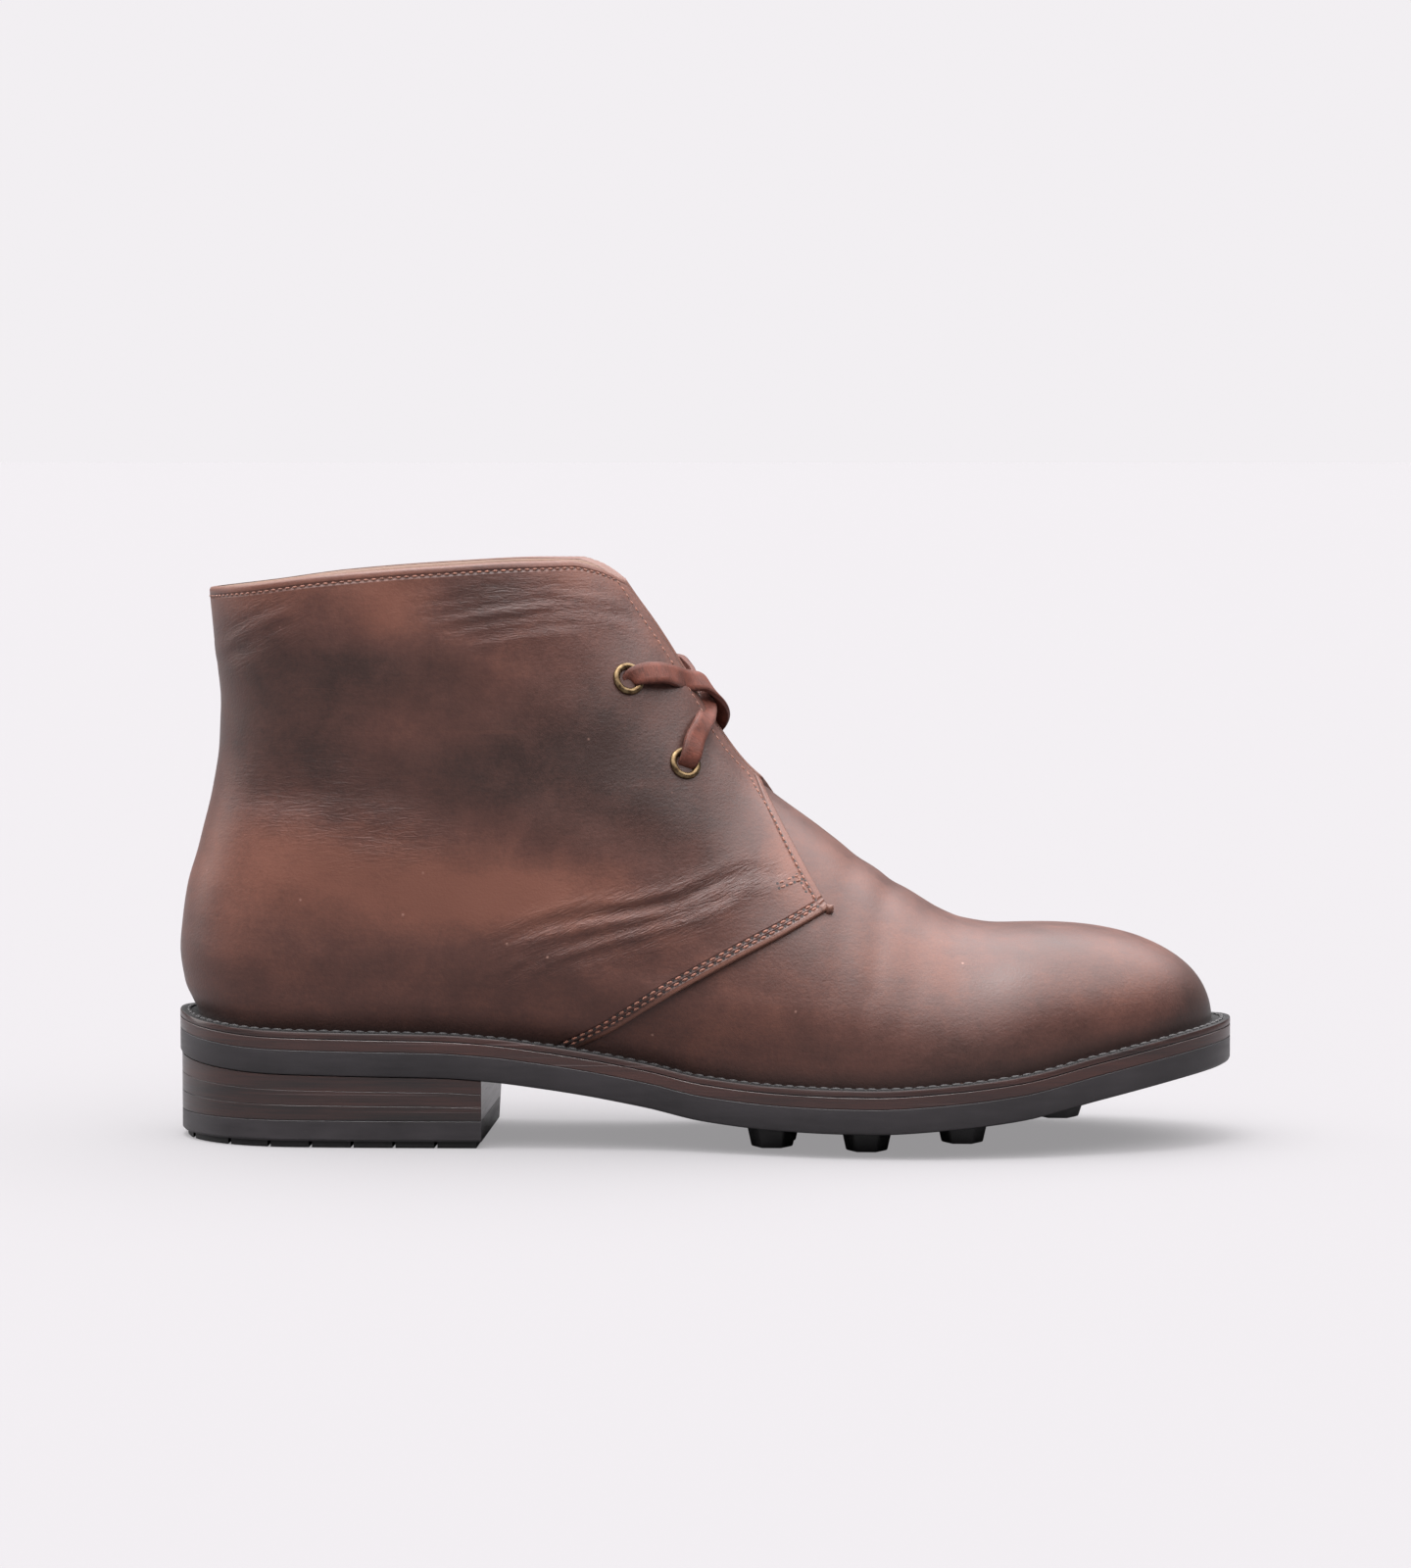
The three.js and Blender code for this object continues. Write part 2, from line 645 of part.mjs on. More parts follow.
// The plan region of the heel, with its inner front corner cut away more towards the floor
function inHeel(solid) {
  const region = block([-beyond, -sideways, -beyond], [heelLength, sideways, zUp(1)]);
  const cornerY = middleLine(heelLength) + innerWidth(heelLength) + weltReach;
  const outward = new THREE.Vector3(1, 1, -0.7).normalize();
  const cutter = new THREE.BoxGeometry(3 * sideways, sideways, 3 * sideways);
  const corner = new THREE.Vector3(heelLength, cornerY - innerCornerCut, topPieceHeight);
  corner.addScaledVector(outward, sideways / 2);
  return solid.intersect(region).subtract(solidOf(turned(cutter, { point: corner, normal: outward })));
}

function makeLift(level) {
  const top = (share) => (x) => mix(topPieceHeight, outsoleEdge(x), share);
  const upperFace = (x) => top((level + 1) / liftCount)(x) - gap;
  return inHeel(plate(weltReach - heelInset, upperFace, top(level / liftCount)));
}

function makeTopPiece() {
  const body = plate(weltReach - heelInset, () => topPieceHeight - gap, () => heelRibDepth);
  const ribs = plate(weltReach - heelInset - heelRibInset, () => topPieceHeight / 2, () => 0);
  let piece = body;
  for (let front = heelLength - heelRibInset; front > heelRibPitch / 2; front -= heelRibPitch) {
    const back = Math.max(front - heelRibWidth, -beyond);
    piece = piece.add(ribs.intersect(block([back, -sideways, -beyond], [front, sideways, beyond])));
  }
  return inHeel(piece);
}

// A ring of metal: a flange on the leather and a barrel through it
function makeEyelet() {
  const depth = wall + quarterStep;
  const rim = gap + eyeletFlangeThickness;
  const profile = [
    [eyeletHoleRadius, -depth],
    [eyeletBarrelRadius, -depth],
    [eyeletBarrelRadius, gap],
    [eyeletFlangeRadius, gap],
    [eyeletFlangeRadius - eyeletFlangeThickness / 2, rim],
    [eyeletHoleRadius + eyeletFlangeThickness / 2, rim],
    [eyeletHoleRadius, gap],
    [eyeletHoleRadius, -depth],
  ];
  return new THREE.LatheGeometry(profile.map(([r, h]) => new THREE.Vector2(r, h)), roundSides);
}

// A flat strip along a path of places, each with its outward direction
function strip(places) {
  const path = new THREE.CatmullRomCurve3(places.map((place) => place.point));
  const facing = new THREE.CatmullRomCurve3(places.map((place) => place.normal));
  const points = [];
  const faces = [];
  for (let i = 0; i <= laceSteps; i++) {
    const t = i / laceSteps;
    const centre = path.getPoint(t);
    const ahead = path.getTangent(t);
    const out = facing.getPoint(t);
    out.addScaledVector(ahead, -out.dot(ahead)).normalize();
    const across = new THREE.Vector3().crossVectors(ahead, out);
    for (const [w, h] of [[-1, -1], [1, -1], [1, 1], [-1, 1]]) {
      const corner = centre.clone().addScaledVector(across, (w * laceWidth) / 2);
      points.push(corner.addScaledVector(out, (h * laceThickness) / 2));
    }
    if (i === laceSteps) continue;
    for (let k = 0; k < 4; k++) {
      const [a, b] = [4 * i + k, 4 * i + ((k + 1) % 4)];
      faces.push([a, b, b + 4], [a, b + 4, a + 4]);
    }
  }
  const end = 4 * laceSteps;
  faces.push([0, 2, 1], [0, 3, 2], [end, end + 1, end + 2], [end, end + 2, end + 3]);
  return meshSolid(points, faces);
}

// A place above the facings on the middle line, lifted off the front line
function overThroat(row, lift) {
  const [x] = sidePoint(row);
  const step = 0.5;
  const slope = (frontLine(x + step) - frontLine(x - step)) / (2 * step);
  const normal = new THREE.Vector3(-slope, 0, 1).normalize();
  const point = new THREE.Vector3(x, middleLine(x), frontLine(x));
  return { point: point.addScaledVector(normal, quarterStep + lift), normal };
}

function onQuarter(row, side, lift) {
  const place = quarterPlace(row, side);
  return { point: place.point.addScaledVector(place.normal, lift), normal: place.normal };
}

// One strand from an eyelet over the throat to the other row's eyelet on the far quarter
function strand(fromRow, toRow, side, middleRow, lift) {
  const seat = 2 * gap + eyeletFlangeThickness + laceThickness / 2;
  const blend = (a, b, t) => ({ at: mix(a.at, b.at, t), up: mix(a.up, b.up, t) });
  return strip([
    onQuarter(fromRow, side, seat),
    onQuarter(blend(fromRow, middleRow, 0.45), side, seat + lift / 3),
    overThroat(middleRow, lift),
    onQuarter(blend(toRow, middleRow, 0.45), -side, seat + lift / 3),
    onQuarter(toRow, -side, seat),
  ]);
}

const crossing = { at: 0.495, up: 0.735 };
const overLift = 4.6;

function makeLace() {
  const [topRow, bottomRow] = eyeletRows;
  const overStrand = strand(topRow, bottomRow, -1, crossing, overLift);
  const underStrand = strand(bottomRow, topRow, -1, crossing, overLift - laceThickness + gap);
  return overStrand.add(underStrand);
}

const boot = new THREE.Group();

function addPiece(name, geometry, color, roughness, metalness = 0) {
  const material = new THREE.MeshStandardMaterial({ color, roughness, metalness });
  const mesh = new THREE.Mesh(geometry, material);
  mesh.name = name;
  boot.add(mesh);
}

addPiece("upper", geometryOf(makeUpper()), colours.leather, 0.6);
addPiece("tongue", geometryOf(makeTongue()), colours.tongue, 0.6);
addPiece("insole", geometryOf(makeInsole()), colours.lining, 0.7);
addPiece("welt", geometryOf(makeWelt()), colours.black, 0.5);
addPiece("midsole", geometryOf(makeMidsole()), colours.stack, 0.5);
addPiece("outsole", geometryOf(makeOutsole()), colours.rubber, 0.8);
for (let level = 0; level < liftCount; level++) {
  addPiece(`heel_lift_${level + 1}`, geometryOf(makeLift(level)), colours.stack, 0.5);
}
addPiece("heel_top_piece", geometryOf(makeTopPiece()), colours.rubber, 0.8);
for (const place of eyelets) {
  addPiece(place.name, geometryOf(solidOf(turned(makeEyelet(), place))), colours.brass, 0.35, 0.9);
}
addPiece("lace", geometryOf(makeLace()), colours.lace, 0.6);

const soleEdge = outline(weltReach).map((point) => point.y);
boot.position.set(-soleLength / 2, -(Math.min(...soleEdge) + Math.max(...soleEdge)) / 2, 0);

export default boot;
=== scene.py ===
import math

import bpy
import numpy as np
from bpy.props import FloatProperty, FloatVectorProperty, IntProperty, PointerProperty
from mathutils import Matrix, Vector


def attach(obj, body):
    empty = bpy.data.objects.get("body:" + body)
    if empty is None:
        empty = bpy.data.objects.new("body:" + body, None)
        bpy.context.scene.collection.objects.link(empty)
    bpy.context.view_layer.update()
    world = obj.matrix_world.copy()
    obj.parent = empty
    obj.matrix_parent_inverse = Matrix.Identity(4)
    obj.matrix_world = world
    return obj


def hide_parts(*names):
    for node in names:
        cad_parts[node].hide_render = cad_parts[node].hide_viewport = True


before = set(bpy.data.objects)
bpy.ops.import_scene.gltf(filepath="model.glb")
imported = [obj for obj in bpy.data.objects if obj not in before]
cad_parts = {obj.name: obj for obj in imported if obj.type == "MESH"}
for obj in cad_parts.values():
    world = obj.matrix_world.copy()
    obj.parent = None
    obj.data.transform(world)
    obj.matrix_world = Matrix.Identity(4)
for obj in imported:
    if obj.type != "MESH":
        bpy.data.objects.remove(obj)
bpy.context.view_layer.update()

bl_info = {
    "name": "Chukka boot",
    "version": (1, 0, 0),
    "blender": (4, 5, 0),
    "location": "3D View > Sidebar > Boot",
    "description": "Dresses the chukka boot's solids with leather, stitching, rubber and metal",
    "category": "Object",
}

# Sizes of the boot in millimetres, the same as in the part's source. x runs from the back of
# the sole, z from the floor, and -y is the outer side.
SOLE_LENGTH = 307.0
BALL_WIDTH = 108.0
HEEL_WIDTH = 74.0
SHAFT_HEIGHT = 151.0
SEAT_RISE = 13.7
TOE_SPRING = 15.5
WALL = 2.2
QUARTER_STEP = 1.5
QUARTER_STEP_RISE = 12.0
THROAT_GAP = 7.0
WELT_REACH = 5.3
WELT_THICKNESS = 2.0
MIDSOLE_THICKNESS = 2.8
OUTSOLE_THICKNESS = 7.2
FOREFOOT_RISE = 6.9
TREAD_CROWN = 3.2
INSOLE_THICKNESS = 3.0
GAP = 0.3
STUD_SIZE = 15.0
STUD_PITCH = 27.0
STUD_DEPTHS = (4.5, 4.5, 4.3, 2.3)
STUD_ROWS = 4
STUD_COLUMNS = 4
FIRST_STUD_AT = 0.575
STUD_SPREAD = 0.73
HEEL_LENGTH = 92.8
HEEL_INSET = 0.5
TOP_PIECE_HEIGHT = 8.0
HEEL_RIB_DEPTH = 2.0
HEEL_RIB_PITCH = 12.0
HEEL_RIB_WIDTH = 11.1
HEEL_RIB_INSET = 1.6
LIFT_COUNT = 3
LIFT_GAP = 0.03
SEAM_DISTANCE = 2.1
INNER_CORNER_CUT = 9.0

LAST_LENGTH = SOLE_LENGTH - 2 * WELT_REACH
BED_AT_BALL = FOREFOOT_RISE + OUTSOLE_THICKNESS + GAP + MIDSOLE_THICKNESS

TOE_START = 0.79
TOE_POWER = 2.05
ROOF_START = 0.83
ROOF_POWER = 2.4
HEEL_POWER = 2.15
SWELL_RISE = 26.0
SHAFT_START = 0.3
SHAFT_END = 0.9
RIM_RISE = 8.0
RING_TURN = 42.0

# Height of the bed, as shares of the seat's rise and of the toe spring
BED_ROWS = {
    "at": [-0.02, 0.02, 0.08, 0.16, 0.25, 0.3, 0.35, 0.4, 0.455, 0.51, 0.59, 0.67, 0.745, 0.815, 0.89,
           0.97, 1.02],
    "heel": [1.32, 1.15, 1.04, 1.0, 0.97, 0.9, 0.77, 0.61, 0.39, 0.15, 0.02, 0, 0, 0, 0, 0, 0],
    "toe": [0, 0, 0, 0, 0, 0, 0, 0, 0, 0, 0, 0, 0.085, 0.24, 0.56, 0.87, 1.02],
}

# Middle line and half-widths, as shares of the ball's width, top of the heel's width
WIDTH_ROWS = {
    "at": [0.0, 0.2, 0.33, 0.45, 0.56, 0.645, 0.72, 0.8, 0.88, 1.0],
    "middle": [0.028, 0.028, 0.026, 0.022, 0.022, 0.025, 0.032, 0.048, 0.068, 0.075],
    "outer": [0.283, 0.295, 0.287, 0.296, 0.375, 0.441, 0.456, 0.436, 0.405, 0.385],
    "inner": [0.283, 0.29, 0.272, 0.258, 0.322, 0.385, 0.417, 0.405, 0.37, 0.35],
    "swell": [0.028, 0.03, 0.045, 0.07, 0.045, 0.02, 0.014, 0.014, 0.014, 0.014],
    "top": [0.52, 0.52, 0.52, 0.53, 0.6, 0.64, 0.66, 0.64, 0.6, 0.55],
}

# Front line in the side view, and how round the section across the foot is
FRONT_ROWS = {
    "at": [0.0, 0.3, 0.428, 0.455, 0.491, 0.513, 0.539, 0.563, 0.612, 0.662, 0.719, 0.756, 0.79, 0.83, 1.0],
    "up": [2.24, 1.325, 0.934, 0.86, 0.747, 0.673, 0.604, 0.561, 0.489, 0.414, 0.341, 0.305, 0.296,
           0.298, 0.3],
    "fullness": [3.0, 2.8, 2.5, 2.4, 2.3, 2.2, 2.15, 2.1, 2.1, 2.1, 2.15, 2.2, 2.3, 2.4, 2.5],
}

# Back line in the side view, as shares of the heel's width
BACK_ROWS = {
    "up": [0.05, 0.125, 0.15, 0.185, 0.25, 0.3, 0.37, 0.45, 0.56, 0.64, 0.71, 0.79, 0.94, 1.1],
    "back": [0.025, 0.025, 0.012, -0.008, -0.024, -0.017, 0.007, 0.052, 0.108, 0.133, 0.139, 0.127,
            0.098, 0.07],
    "round": [0.46, 0.46, 0.47, 0.48, 0.5, 0.52, 0.55, 0.6, 0.66, 0.68, 0.68, 0.66, 0.62, 0.6],
}

TOPLINE_ROWS = {
    "at": [-0.1, 0.03, 0.07, 0.14, 0.25, 0.34, 0.375, 0.395, 0.413, 0.432, 0.46, 0.7],
    "up": [0.925, 0.942, 0.95, 0.968, 0.985, 0.993, 0.993, 0.983, 0.964, 0.934, 0.88, 0.45],
}
SEAM_ROWS = {
    "up": [0.02, 0.087, 0.11, 0.154, 0.197, 0.258, 0.295, 0.34],
    "at": [0.335, 0.4, 0.42, 0.455, 0.493, 0.55, 0.587, 0.628],
}
FACING_TOP = (0.404, 1.06)
FACING_CORNER = (0.628, 0.342)

# Back edge of the vamp, hidden under the quarters
VAMP_BACK_ROWS = {
    "up": [-0.1, 0.094, 0.241, 0.342, 0.45, 0.585, 0.7],
    "at": [0.3, 0.35, 0.47, 0.54, 0.535, 0.51, 0.49],
}

# How far the tread's crown reaches along the sole
CROWN_ROWS = {
    "at": [0.36, 0.5, 0.58, 0.68, 0.8, 0.92],
    "crown": [0, 0.6, 1, 1, 0.35, 0],
}

FACING_SHIFT = 5.4
BAR_RISE = 9.6
BAR_LENGTH = 6.8
BAR_SLOPE = math.radians(20)

EYELET_PLACES = {"top": (0.4335, 0.7695), "bottom": (0.488, 0.6105)}

# The lace's two visible strands, from the outer hole over the throat to the inner hole. outer
# and inner rows give a place on a quarter, its height above the leather, how far the strap
# leans and its share of the width. over rows give the height across the throat's middle.
LACE_STRANDS = {
    "over": [
        ("outer", 0.432, 0.769, -4.2, 1.2, 0.6),
        ("outer", 0.4335, 0.77, -1.8, 1.0, 0.7),
        ("outer", 0.438, 0.773, 0.7, 0.3, 0.85),
        ("outer", 0.446, 0.7745, 1.9, 0.0, 0.98),
        ("outer", 0.4605, 0.7715, 2.4, -0.1, 1.0),
        ("over", 0.487, 0.766, -10.5, -0.74, 1.0),
        ("over", 0.5035, 0.76, -4.6, -0.42, 1.0),
        ("over", 0.5135, 0.7365, 0.0, -0.08, 1.0),
        ("over", 0.518, 0.709, 4.2, 0.3, 1.0),
        ("over", 0.5155, 0.686, 8.4, 0.62, 1.0),
        ("over", 0.507, 0.667, 13.0, 0.78, 1.0),
        ("inner", 0.49, 0.638, 1.9, 0.0, 0.98),
        ("inner", 0.489, 0.619, 0.9, -0.2, 0.85),
        ("inner", 0.488, 0.61, -1.8, -0.8, 0.7),
        ("inner", 0.487, 0.609, -4.2, -1.0, 0.6),
    ],
    "under": [
        ("outer", 0.487, 0.603, -4.0, 0.2, 0.6),
        ("outer", 0.488, 0.606, -1.6, 0.2, 0.7),
        ("outer", 0.4895, 0.6125, 0.9, 0.1, 0.85),
        ("outer", 0.4905, 0.624, 1.9, 0.0, 0.95),
        ("outer", 0.4915, 0.646, 2.2, 0.0, 0.96),
        ("outer", 0.4955, 0.67, 2.2, 0.1, 0.95),
        ("over", 0.507, 0.702, -6.6, -0.62, 0.92),
        ("over", 0.5062, 0.722, -2.0, -0.25, 0.95),
        ("over", 0.5005, 0.742, 3.4, 0.3, 0.95),
        ("over", 0.4905, 0.763, 8.4, 0.62, 1.0),
        ("inner", 0.473, 0.7745, 2.2, 0.0, 1.0),
        ("inner", 0.455, 0.775, 1.9, 0.0, 0.98),
        ("inner", 0.44, 0.772, 0.8, -0.3, 0.85),
        ("inner", 0.4345, 0.77, -1.8, -1.0, 0.7),
        ("inner", 0.433, 0.769, -4.2, -1.2, 0.6),
    ],
}

# Creases of the worn leather in the side view, each a trough with a ridge beside it: depth and
# width in millimetres, the ridge's side (1 above, -1 below) and the places that it runs through
CREASES = [
    (0.24, 1.3, -1, [(0.262, 0.932), (0.303, 0.943), (0.359, 0.946), (0.413, 0.931)]),
    (0.33, 1.4, -1, [(0.248, 0.888), (0.304, 0.91), (0.359, 0.92), (0.409, 0.902), (0.438, 0.885)]),
    (0.3, 1.3, 1, [(0.257, 0.866), (0.313, 0.884), (0.368, 0.9), (0.423, 0.885), (0.445, 0.865)]),
    (0.21, 1.4, -1, [(0.285, 0.849), (0.341, 0.869), (0.396, 0.875)]),
    (0.21, 1.2, 1, [(0.23, 0.915), (0.28, 0.925), (0.33, 0.932), (0.38, 0.925)]),
    (0.3, 1.8, -1, [(0.037, 0.846), (0.077, 0.887), (0.115, 0.922)]),
    (0.27, 2.0, 1, [(0.042, 0.813), (0.085, 0.858), (0.125, 0.889)]),
    (0.21, 1.8, 1, [(0.03, 0.79), (0.06, 0.82), (0.1, 0.84)]),
    (0.53, 1.7, -1, [(0.308, 0.276), (0.364, 0.313), (0.424, 0.338), (0.484, 0.356), (0.53, 0.397),
            (0.554, 0.416), (0.579, 0.405)]),
    (0.56, 1.8, -1, [(0.341, 0.253), (0.404, 0.29), (0.454, 0.315), (0.493, 0.339), (0.524, 0.363),
            (0.547, 0.397), (0.575, 0.396)]),
    (0.42, 1.5, 1, [(0.398, 0.329), (0.45, 0.346), (0.488, 0.363), (0.524, 0.397), (0.543, 0.416)]),
    (0.28, 1.7, 1, [(0.36, 0.228), (0.41, 0.262), (0.455, 0.287), (0.5, 0.314)]),
    (0.25, 1.6, 1, [(0.33, 0.3), (0.38, 0.332), (0.42, 0.35)]),
    (0.28, 3.2, -1, [(0.124, 0.491), (0.172, 0.505), (0.219, 0.487), (0.256, 0.461)]),
    (0.25, 3.0, 1, [(0.143, 0.464), (0.19, 0.474), (0.238, 0.446)]),
    (0.25, 1.5, 1, [(0.317, 0.206), (0.341, 0.234), (0.365, 0.254)]),
    (0.21, 4.0, -1, [(0.05, 0.56), (0.1, 0.545), (0.16, 0.56), (0.22, 0.55)]),
]

# Soft swells and hollows of the leather in the side view: place, half length, half height, and
# the lift in millimetres
SWELLS = [
    (0.2, 0.42, 0.12, 0.12, 0.5),
    (0.36, 0.33, 0.1, 0.07, 0.5),
    (0.3, 0.62, 0.1, 0.12, -0.7),
    (0.12, 0.56, 0.08, 0.05, -0.5),
    (0.45, 0.52, 0.06, 0.1, 0.4),
    (0.42, 0.23, 0.08, 0.06, -0.5),
]

# Lighter (above 0) and darker (below 0) areas of the leather in the side view, partly the
# waxed leather's own uneven pull-up and partly painted light and shade: lighter on bulges that
# catch the top light, such as the heel counter and the vamp's side, darker on the shaft and low
# at the toe. Each row gives place, half length, half height and tone
TONES_AND_PAINTED_LIGHT = [
    (0.21, 0.9, 0.035, 0.055, 0.55),
    (0.3, 0.945, 0.04, 0.05, -0.55),
    (0.16, 0.79, 0.1, 0.06, -0.35),
    (0.12, 0.43, 0.09, 0.07, 0.5),
    (0.24, 0.36, 0.09, 0.06, 0.55),
    (0.35, 0.37, 0.07, 0.06, 0.45),
    (0.07, 0.3, 0.05, 0.1, 0.1),
    (0.2, 0.24, 0.13, 0.05, -0.1),
    (0.3, 0.6, 0.12, 0.09, -0.5),
    (0.42, 0.68, 0.07, 0.12, -0.35),
    (0.5, 0.5, 0.07, 0.08, -0.3),
    (0.24, 0.67, 0.05, 0.04, 0.2),
    (0.33, 0.8, 0.06, 0.05, 0.1),
    (0.09, 0.66, 0.08, 0.1, -0.35),
    (0.63, 0.43, 0.06, 0.09, 0.12),
    (0.7, 0.27, 0.06, 0.06, 0.25),
    (0.86, 0.27, 0.09, 0.05, -0.05),
    (0.93, 0.21, 0.05, 0.06, 0.2),
    (0.99, 0.14, 0.035, 0.1, -0.5),
    (0.82, 0.07, 0.2, 0.05, -0.3),
    (0.5, 0.12, 0.06, 0.06, 0.1),
]


def x_at(at):
    return WELT_REACH + np.asarray(at, float) * LAST_LENGTH


def z_up(up):
    return BED_AT_BALL + np.asarray(up, float) * SHAFT_HEIGHT


def clamp(t):
    return np.clip(t, 0.0, 1.0)


def smooth(t):
    t = clamp(t)
    return t * t * (3 - 2 * t)


def mix(a, b, t):
    return a + (b - a) * t


def super_round(t, power):
    return (1 - clamp(t) ** power) ** (1 / power)


def curve_through(xs, ys):
    """A smooth curve through a table's rows that never swings past them."""
    xs = np.array(xs, float)
    ys = np.array(ys, float)
    slopes = np.diff(ys) / np.diff(xs)
    before = slopes[:-1]
    after = slopes[1:]
    total = np.where(before + after == 0, 1, before + after)
    inner = np.where(before * after > 0, 2 * before * after / total, 0)
    tangents = np.concatenate([slopes[:1], inner, slopes[-1:]])

    def value(x):
        x = np.asarray(x, float)
        i = np.clip(np.searchsorted(xs, x, side="right") - 1, 0, len(xs) - 2)
        span = xs[i + 1] - xs[i]
        t = (x - xs[i]) / span
        bend = t * (1 - t) * span * ((1 - t) * tangents[i] - t * tangents[i + 1])
        inside = ys[i] + (ys[i + 1] - ys[i]) * t * t * (3 - 2 * t) + bend
        low = ys[0] + slopes[0] * (x - xs[0])
        high = ys[-1] + slopes[-1] * (x - xs[-1])
        return np.where(x <= xs[0], low, np.where(x >= xs[-1], high, inside))

    return value


def column(rows, name, scale):
    return curve_through(x_at(rows["at"]), np.array(rows[name]) * scale)


heel_part = column(BED_ROWS, "heel", SEAT_RISE)
toe_part = column(BED_ROWS, "toe", TOE_SPRING)
middle_line = column(WIDTH_ROWS, "middle", BALL_WIDTH)
outer_width = column(WIDTH_ROWS, "outer", BALL_WIDTH)
inner_width = column(WIDTH_ROWS, "inner", BALL_WIDTH)
swell_width = column(WIDTH_ROWS, "swell", BALL_WIDTH)
shaft_width = column(WIDTH_ROWS, "top", HEEL_WIDTH)
fullness = column(FRONT_ROWS, "fullness", 1)
crown_share = column(CROWN_ROWS, "crown", 1)
open_front = curve_through(x_at(FRONT_ROWS["at"]), z_up(FRONT_ROWS["up"]))
back_offset = curve_through(z_up(BACK_ROWS["up"]), np.array(BACK_ROWS["back"]) * HEEL_WIDTH)
back_round = curve_through(z_up(BACK_ROWS["up"]), np.array(BACK_ROWS["round"]) * HEEL_WIDTH)
topline = curve_through(x_at(TOPLINE_ROWS["at"]), z_up(TOPLINE_ROWS["up"]))
seam_line = curve_through(z_up(SEAM_ROWS["up"]), x_at(SEAM_ROWS["at"]))
vamp_back_line = curve_through(z_up(VAMP_BACK_ROWS["up"]), x_at(VAMP_BACK_ROWS["at"]))
LAST_END = float(x_at(1))


def bed(x):
    return BED_AT_BALL + heel_part(x) + toe_part(x)


def back_line(z):
    return WELT_REACH + back_offset(z)


def front_line(x):
    start = x_at(ROOF_START)
    rounding = super_round((x - start) / (LAST_END - start), ROOF_POWER)
    return bed(x) + (open_front(x) - bed(x)) * rounding


def half_width(x, z, side):
    """Half-width of the last at a point of its side view. side is -1 outer, 1 inner."""
    rise = z - bed(x)
    at_bed = np.where(np.asarray(side) < 0, outer_width(x), inner_width(x))
    foot = at_bed + swell_width(x) * smooth(rise / SWELL_RISE)
    shaft = smooth((z - z_up(SHAFT_START)) / (z_up(SHAFT_END) - z_up(SHAFT_START)))
    flat = mix(foot, shaft_width(x), shaft)
    back = super_round(1 - (x - back_line(z)) / back_round(z), HEEL_POWER)
    front = super_round(rise / np.maximum(front_line(x) - bed(x), 0.01), fullness(x))
    toe = super_round((x - x_at(TOE_START)) / (LAST_END - x_at(TOE_START)), TOE_POWER)
    return flat * back * front * toe


def surface(x, z, side):
    y = middle_line(x) + side * half_width(x, z, side)
    return np.stack(np.broadcast_arrays(x, y, z), -1)


def quarter_growth(rise):
    return mix(-0.1, QUARTER_STEP, smooth(rise / QUARTER_STEP_RISE))


def front_points():
    """Fine points of the front line from the toe's foot to above the collar, with lengths."""
    share = np.linspace(0, 1, 1201) ** 3
    x = mix(LAST_END, float(x_at(0.3)), share)
    z = front_line(x)
    z[0] = bed(LAST_END)
    top = int(np.argmax(z >= z_up(1) + RIM_RISE))
    line = np.stack([x, z], -1)[: top + 1]
    lengths = np.concatenate([[0], np.cumsum(np.linalg.norm(np.diff(line, axis=0), axis=1))])
    ahead = np.gradient(line, axis=0)
    ahead /= np.linalg.norm(ahead, axis=1)[:, None]
    return line, lengths, ahead


FRONT, FRONT_LENGTHS, FRONT_AHEAD = front_points()


def ring_line(share, t):
    """One level line of the last in the side view, from the back line to the front line."""
    wanted = share * FRONT_LENGTHS[-1]
    place = np.array([np.interp(wanted, FRONT_LENGTHS, FRONT[:, i]) for i in (0, 1)])
    ahead = np.array([np.interp(wanted, FRONT_LENGTHS, FRONT_AHEAD[:, i]) for i in (0, 1)])
    inward = np.array([-ahead[1], ahead[0]])
    back_z = mix(float(bed(WELT_REACH)), float(z_up(1)) + RIM_RISE, share)
    start = np.array([float(back_line(back_z)), back_z])
    room = 0.7 * (place[1] - float(bed(place[0]))) / max(-inward[1], 0.2)
    square = place + inward * min(RING_TURN, room)
    turn = mix(square, mix(start, place, 0.5), float(smooth(2 * share - 1)))
    t = np.asarray(t, float)[:, None]
    line = (1 - t) ** 2 * start + 2 * t * (1 - t) * turn + t ** 2 * place
    t = t[:, 0]
    chord = clamp((line[:, 0] - WELT_REACH) / LAST_LENGTH)
    sag = bed(line[:, 0]) - mix(float(bed(WELT_REACH)), float(bed(LAST_END)), chord)
    line[:, 1] += sag * (1 - share) ** 2 * (1 - min(1, 6 * share) * t ** 3)
    return line


def outline(offset, stations):
    """Plan outline at an offset from the last's edge: outer and inner points, back to toe."""
    share = (1 - np.cos(np.pi * np.linspace(0, 1, stations + 1))) / 2
    back = float(back_line(bed(WELT_REACH)))
    x = mix(back, LAST_END, share)
    sides = []
    for side in (-1, 1):
        width = half_width(x, bed(x), side)
        width[0] = width[-1] = 0
        sides.append(np.stack([x, middle_line(x) + side * width], -1))
    around = np.concatenate([sides[0], sides[1][-2:0:-1]])
    ahead = np.roll(around, -1, axis=0) - np.roll(around, 1, axis=0)
    normal = np.stack([ahead[:, 1], -ahead[:, 0]], -1)
    normal /= np.linalg.norm(normal, axis=1)[:, None]
    grown = around + normal * offset
    outer = grown[: stations + 1]
    inner = np.concatenate([grown[:1], grown[:stations:-1], grown[stations:stations + 1]])
    return outer, inner


def sole_shift():
    outer, inner = outline(WELT_REACH, 240)
    return (outer[:, 1].min() + inner[:, 1].max()) / 2


SIDE_SHIFT = sole_shift()


